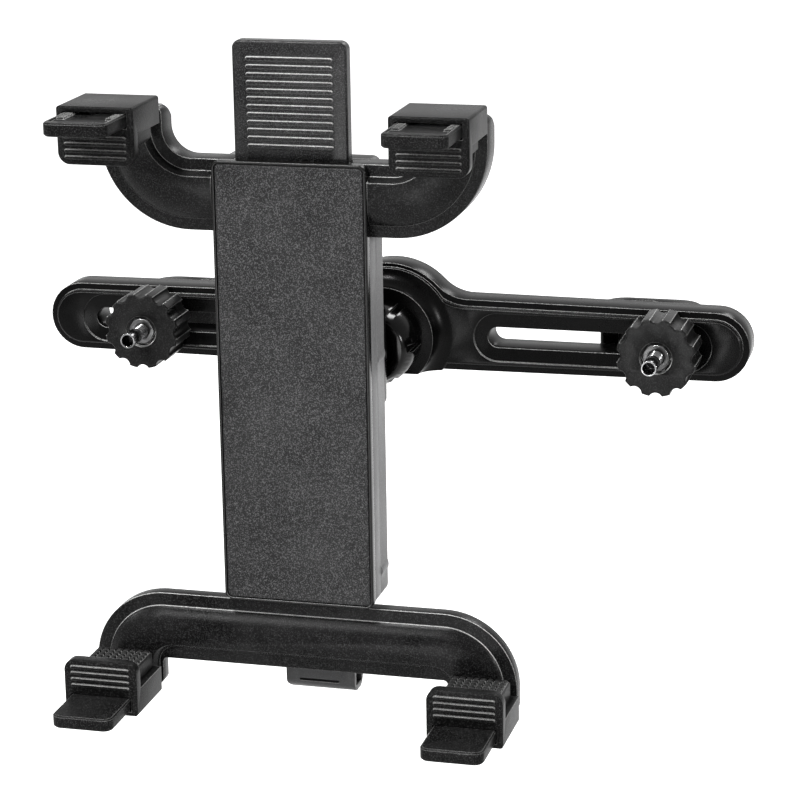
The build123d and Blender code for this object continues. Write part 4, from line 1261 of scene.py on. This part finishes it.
class Mount:
    """The whole object: every CAD node gets a finish, and most get a dressed piece."""

    SOFTENED = {
        "support_bar": 0.5,
        "upper_arm": 0.4,
        "lower_arm": 0.4,
        "slide_bar": 0.3,
        "front_cover": 0.2,
        "front_pad": 0.25,
        "front_housing": 0.25,
        "rear_housing": 0.4,
        "locking_nut": 0.4,
        "ball_stud": 0.3,
        "left_hook": 0.4,
        "right_hook": 0.4,
        "pull_tab": 0.3,
        "left_knob": 0.12,
        "right_knob": 0.12,
    }
    CLAMP_SOFTENED = 0.2
    RAIL_SOFTENED = 0.3
    NUT_SOFTENED = 0.12
    NUT_SHARP = 20.0

    def __init__(self, effects: EffectShop) -> None:
        """Make the materials and read which body carries which node.

        Args:
            effects: The shared node groups.
        """
        record = frame["record"]
        self.materials = {finish: finish.value.make(effects) for finish in Finish}
        self.by_slot = {finish.value.name: finish for finish in Finish}
        self.slots = {row["node"]: row["material_slot"] for row in record["subparts"]}
        self.carrier = {
            node: body
            for body, nodes in record["behaviour"]["bodies"].items()
            for node in nodes
        }

    def dress(
        self, piece: bpy.types.Object, node: str, finish: Optional[Finish] = None
    ) -> None:
        """Give a piece its finish, by the node's slot unless one is given, put it on its body
        and hide the CAD node that it stands for.

        Args:
            piece: The finished piece.
            node: The CAD node that it replaces.
            finish: Its finish, or None for that of the node's slot.
        """
        finish = finish or self.by_slot[self.slots[node]]
        piece.data.materials.clear()
        piece.data.materials.append(self.materials[finish])
        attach(piece, self.carrier[node])
        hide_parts(node)
        faces = len(piece.data.polygons)
        LOG.info("%s: %d faces on %s", piece.name, faces, self.carrier[node])

    def dress_nodes(self) -> None:
        """Give every CAD node the material of its slot."""
        for name, node in frame["nodes"].items():
            node.data.materials.clear()
            node.data.materials.append(self.materials[self.by_slot[self.slots[name]]])

    def dress_skins(self) -> None:
        """Show the moulded parts as merged copies with softened edges."""
        softened = dict(self.SOFTENED)
        for height in HEIGHTS:
            for side in SIDES:
                softened[f"{height}_{side}_clamp"] = self.CLAMP_SOFTENED
                softened[f"{height}_{side}_rail"] = self.RAIL_SOFTENED
        for node, width in softened.items():
            self.dress(DressedPart(node, width).build(), node)

    def dress_grips(self) -> None:
        """Show the grips as hand-modelled blocks."""
        for height in HEIGHTS:
            for side in SIDES:
                node = f"{height}_{side}_grip"
                self.dress(Grip(node, knobs_up=height == "lower").build(), node)

    def dress_studs(self) -> None:
        """Show the studs as turned pieces, and the knob nuts beside them."""
        for side in SIDES:
            stud, nut = f"{side}_stud", f"{side}_knob_nut"
            self.dress(ThreadedStud(stud).build(), stud)
            skin = DressedPart(nut, self.NUT_SOFTENED, self.NUT_SHARP)
            self.dress(skin.build(), nut, Finish.NUT_STEEL)

    def build(self) -> None:
        """Dress the whole object."""
        self.dress_nodes()
        self.dress_skins()
        self.dress_grips()
        self.dress_studs()


def main() -> None:
    """Build the looks of the headrest tablet mount."""
    logging.basicConfig(level=logging.INFO)
    effects = EffectShop()
    Studio().build()
    Mount(effects).build()


if __name__ == "__main__":
    main()
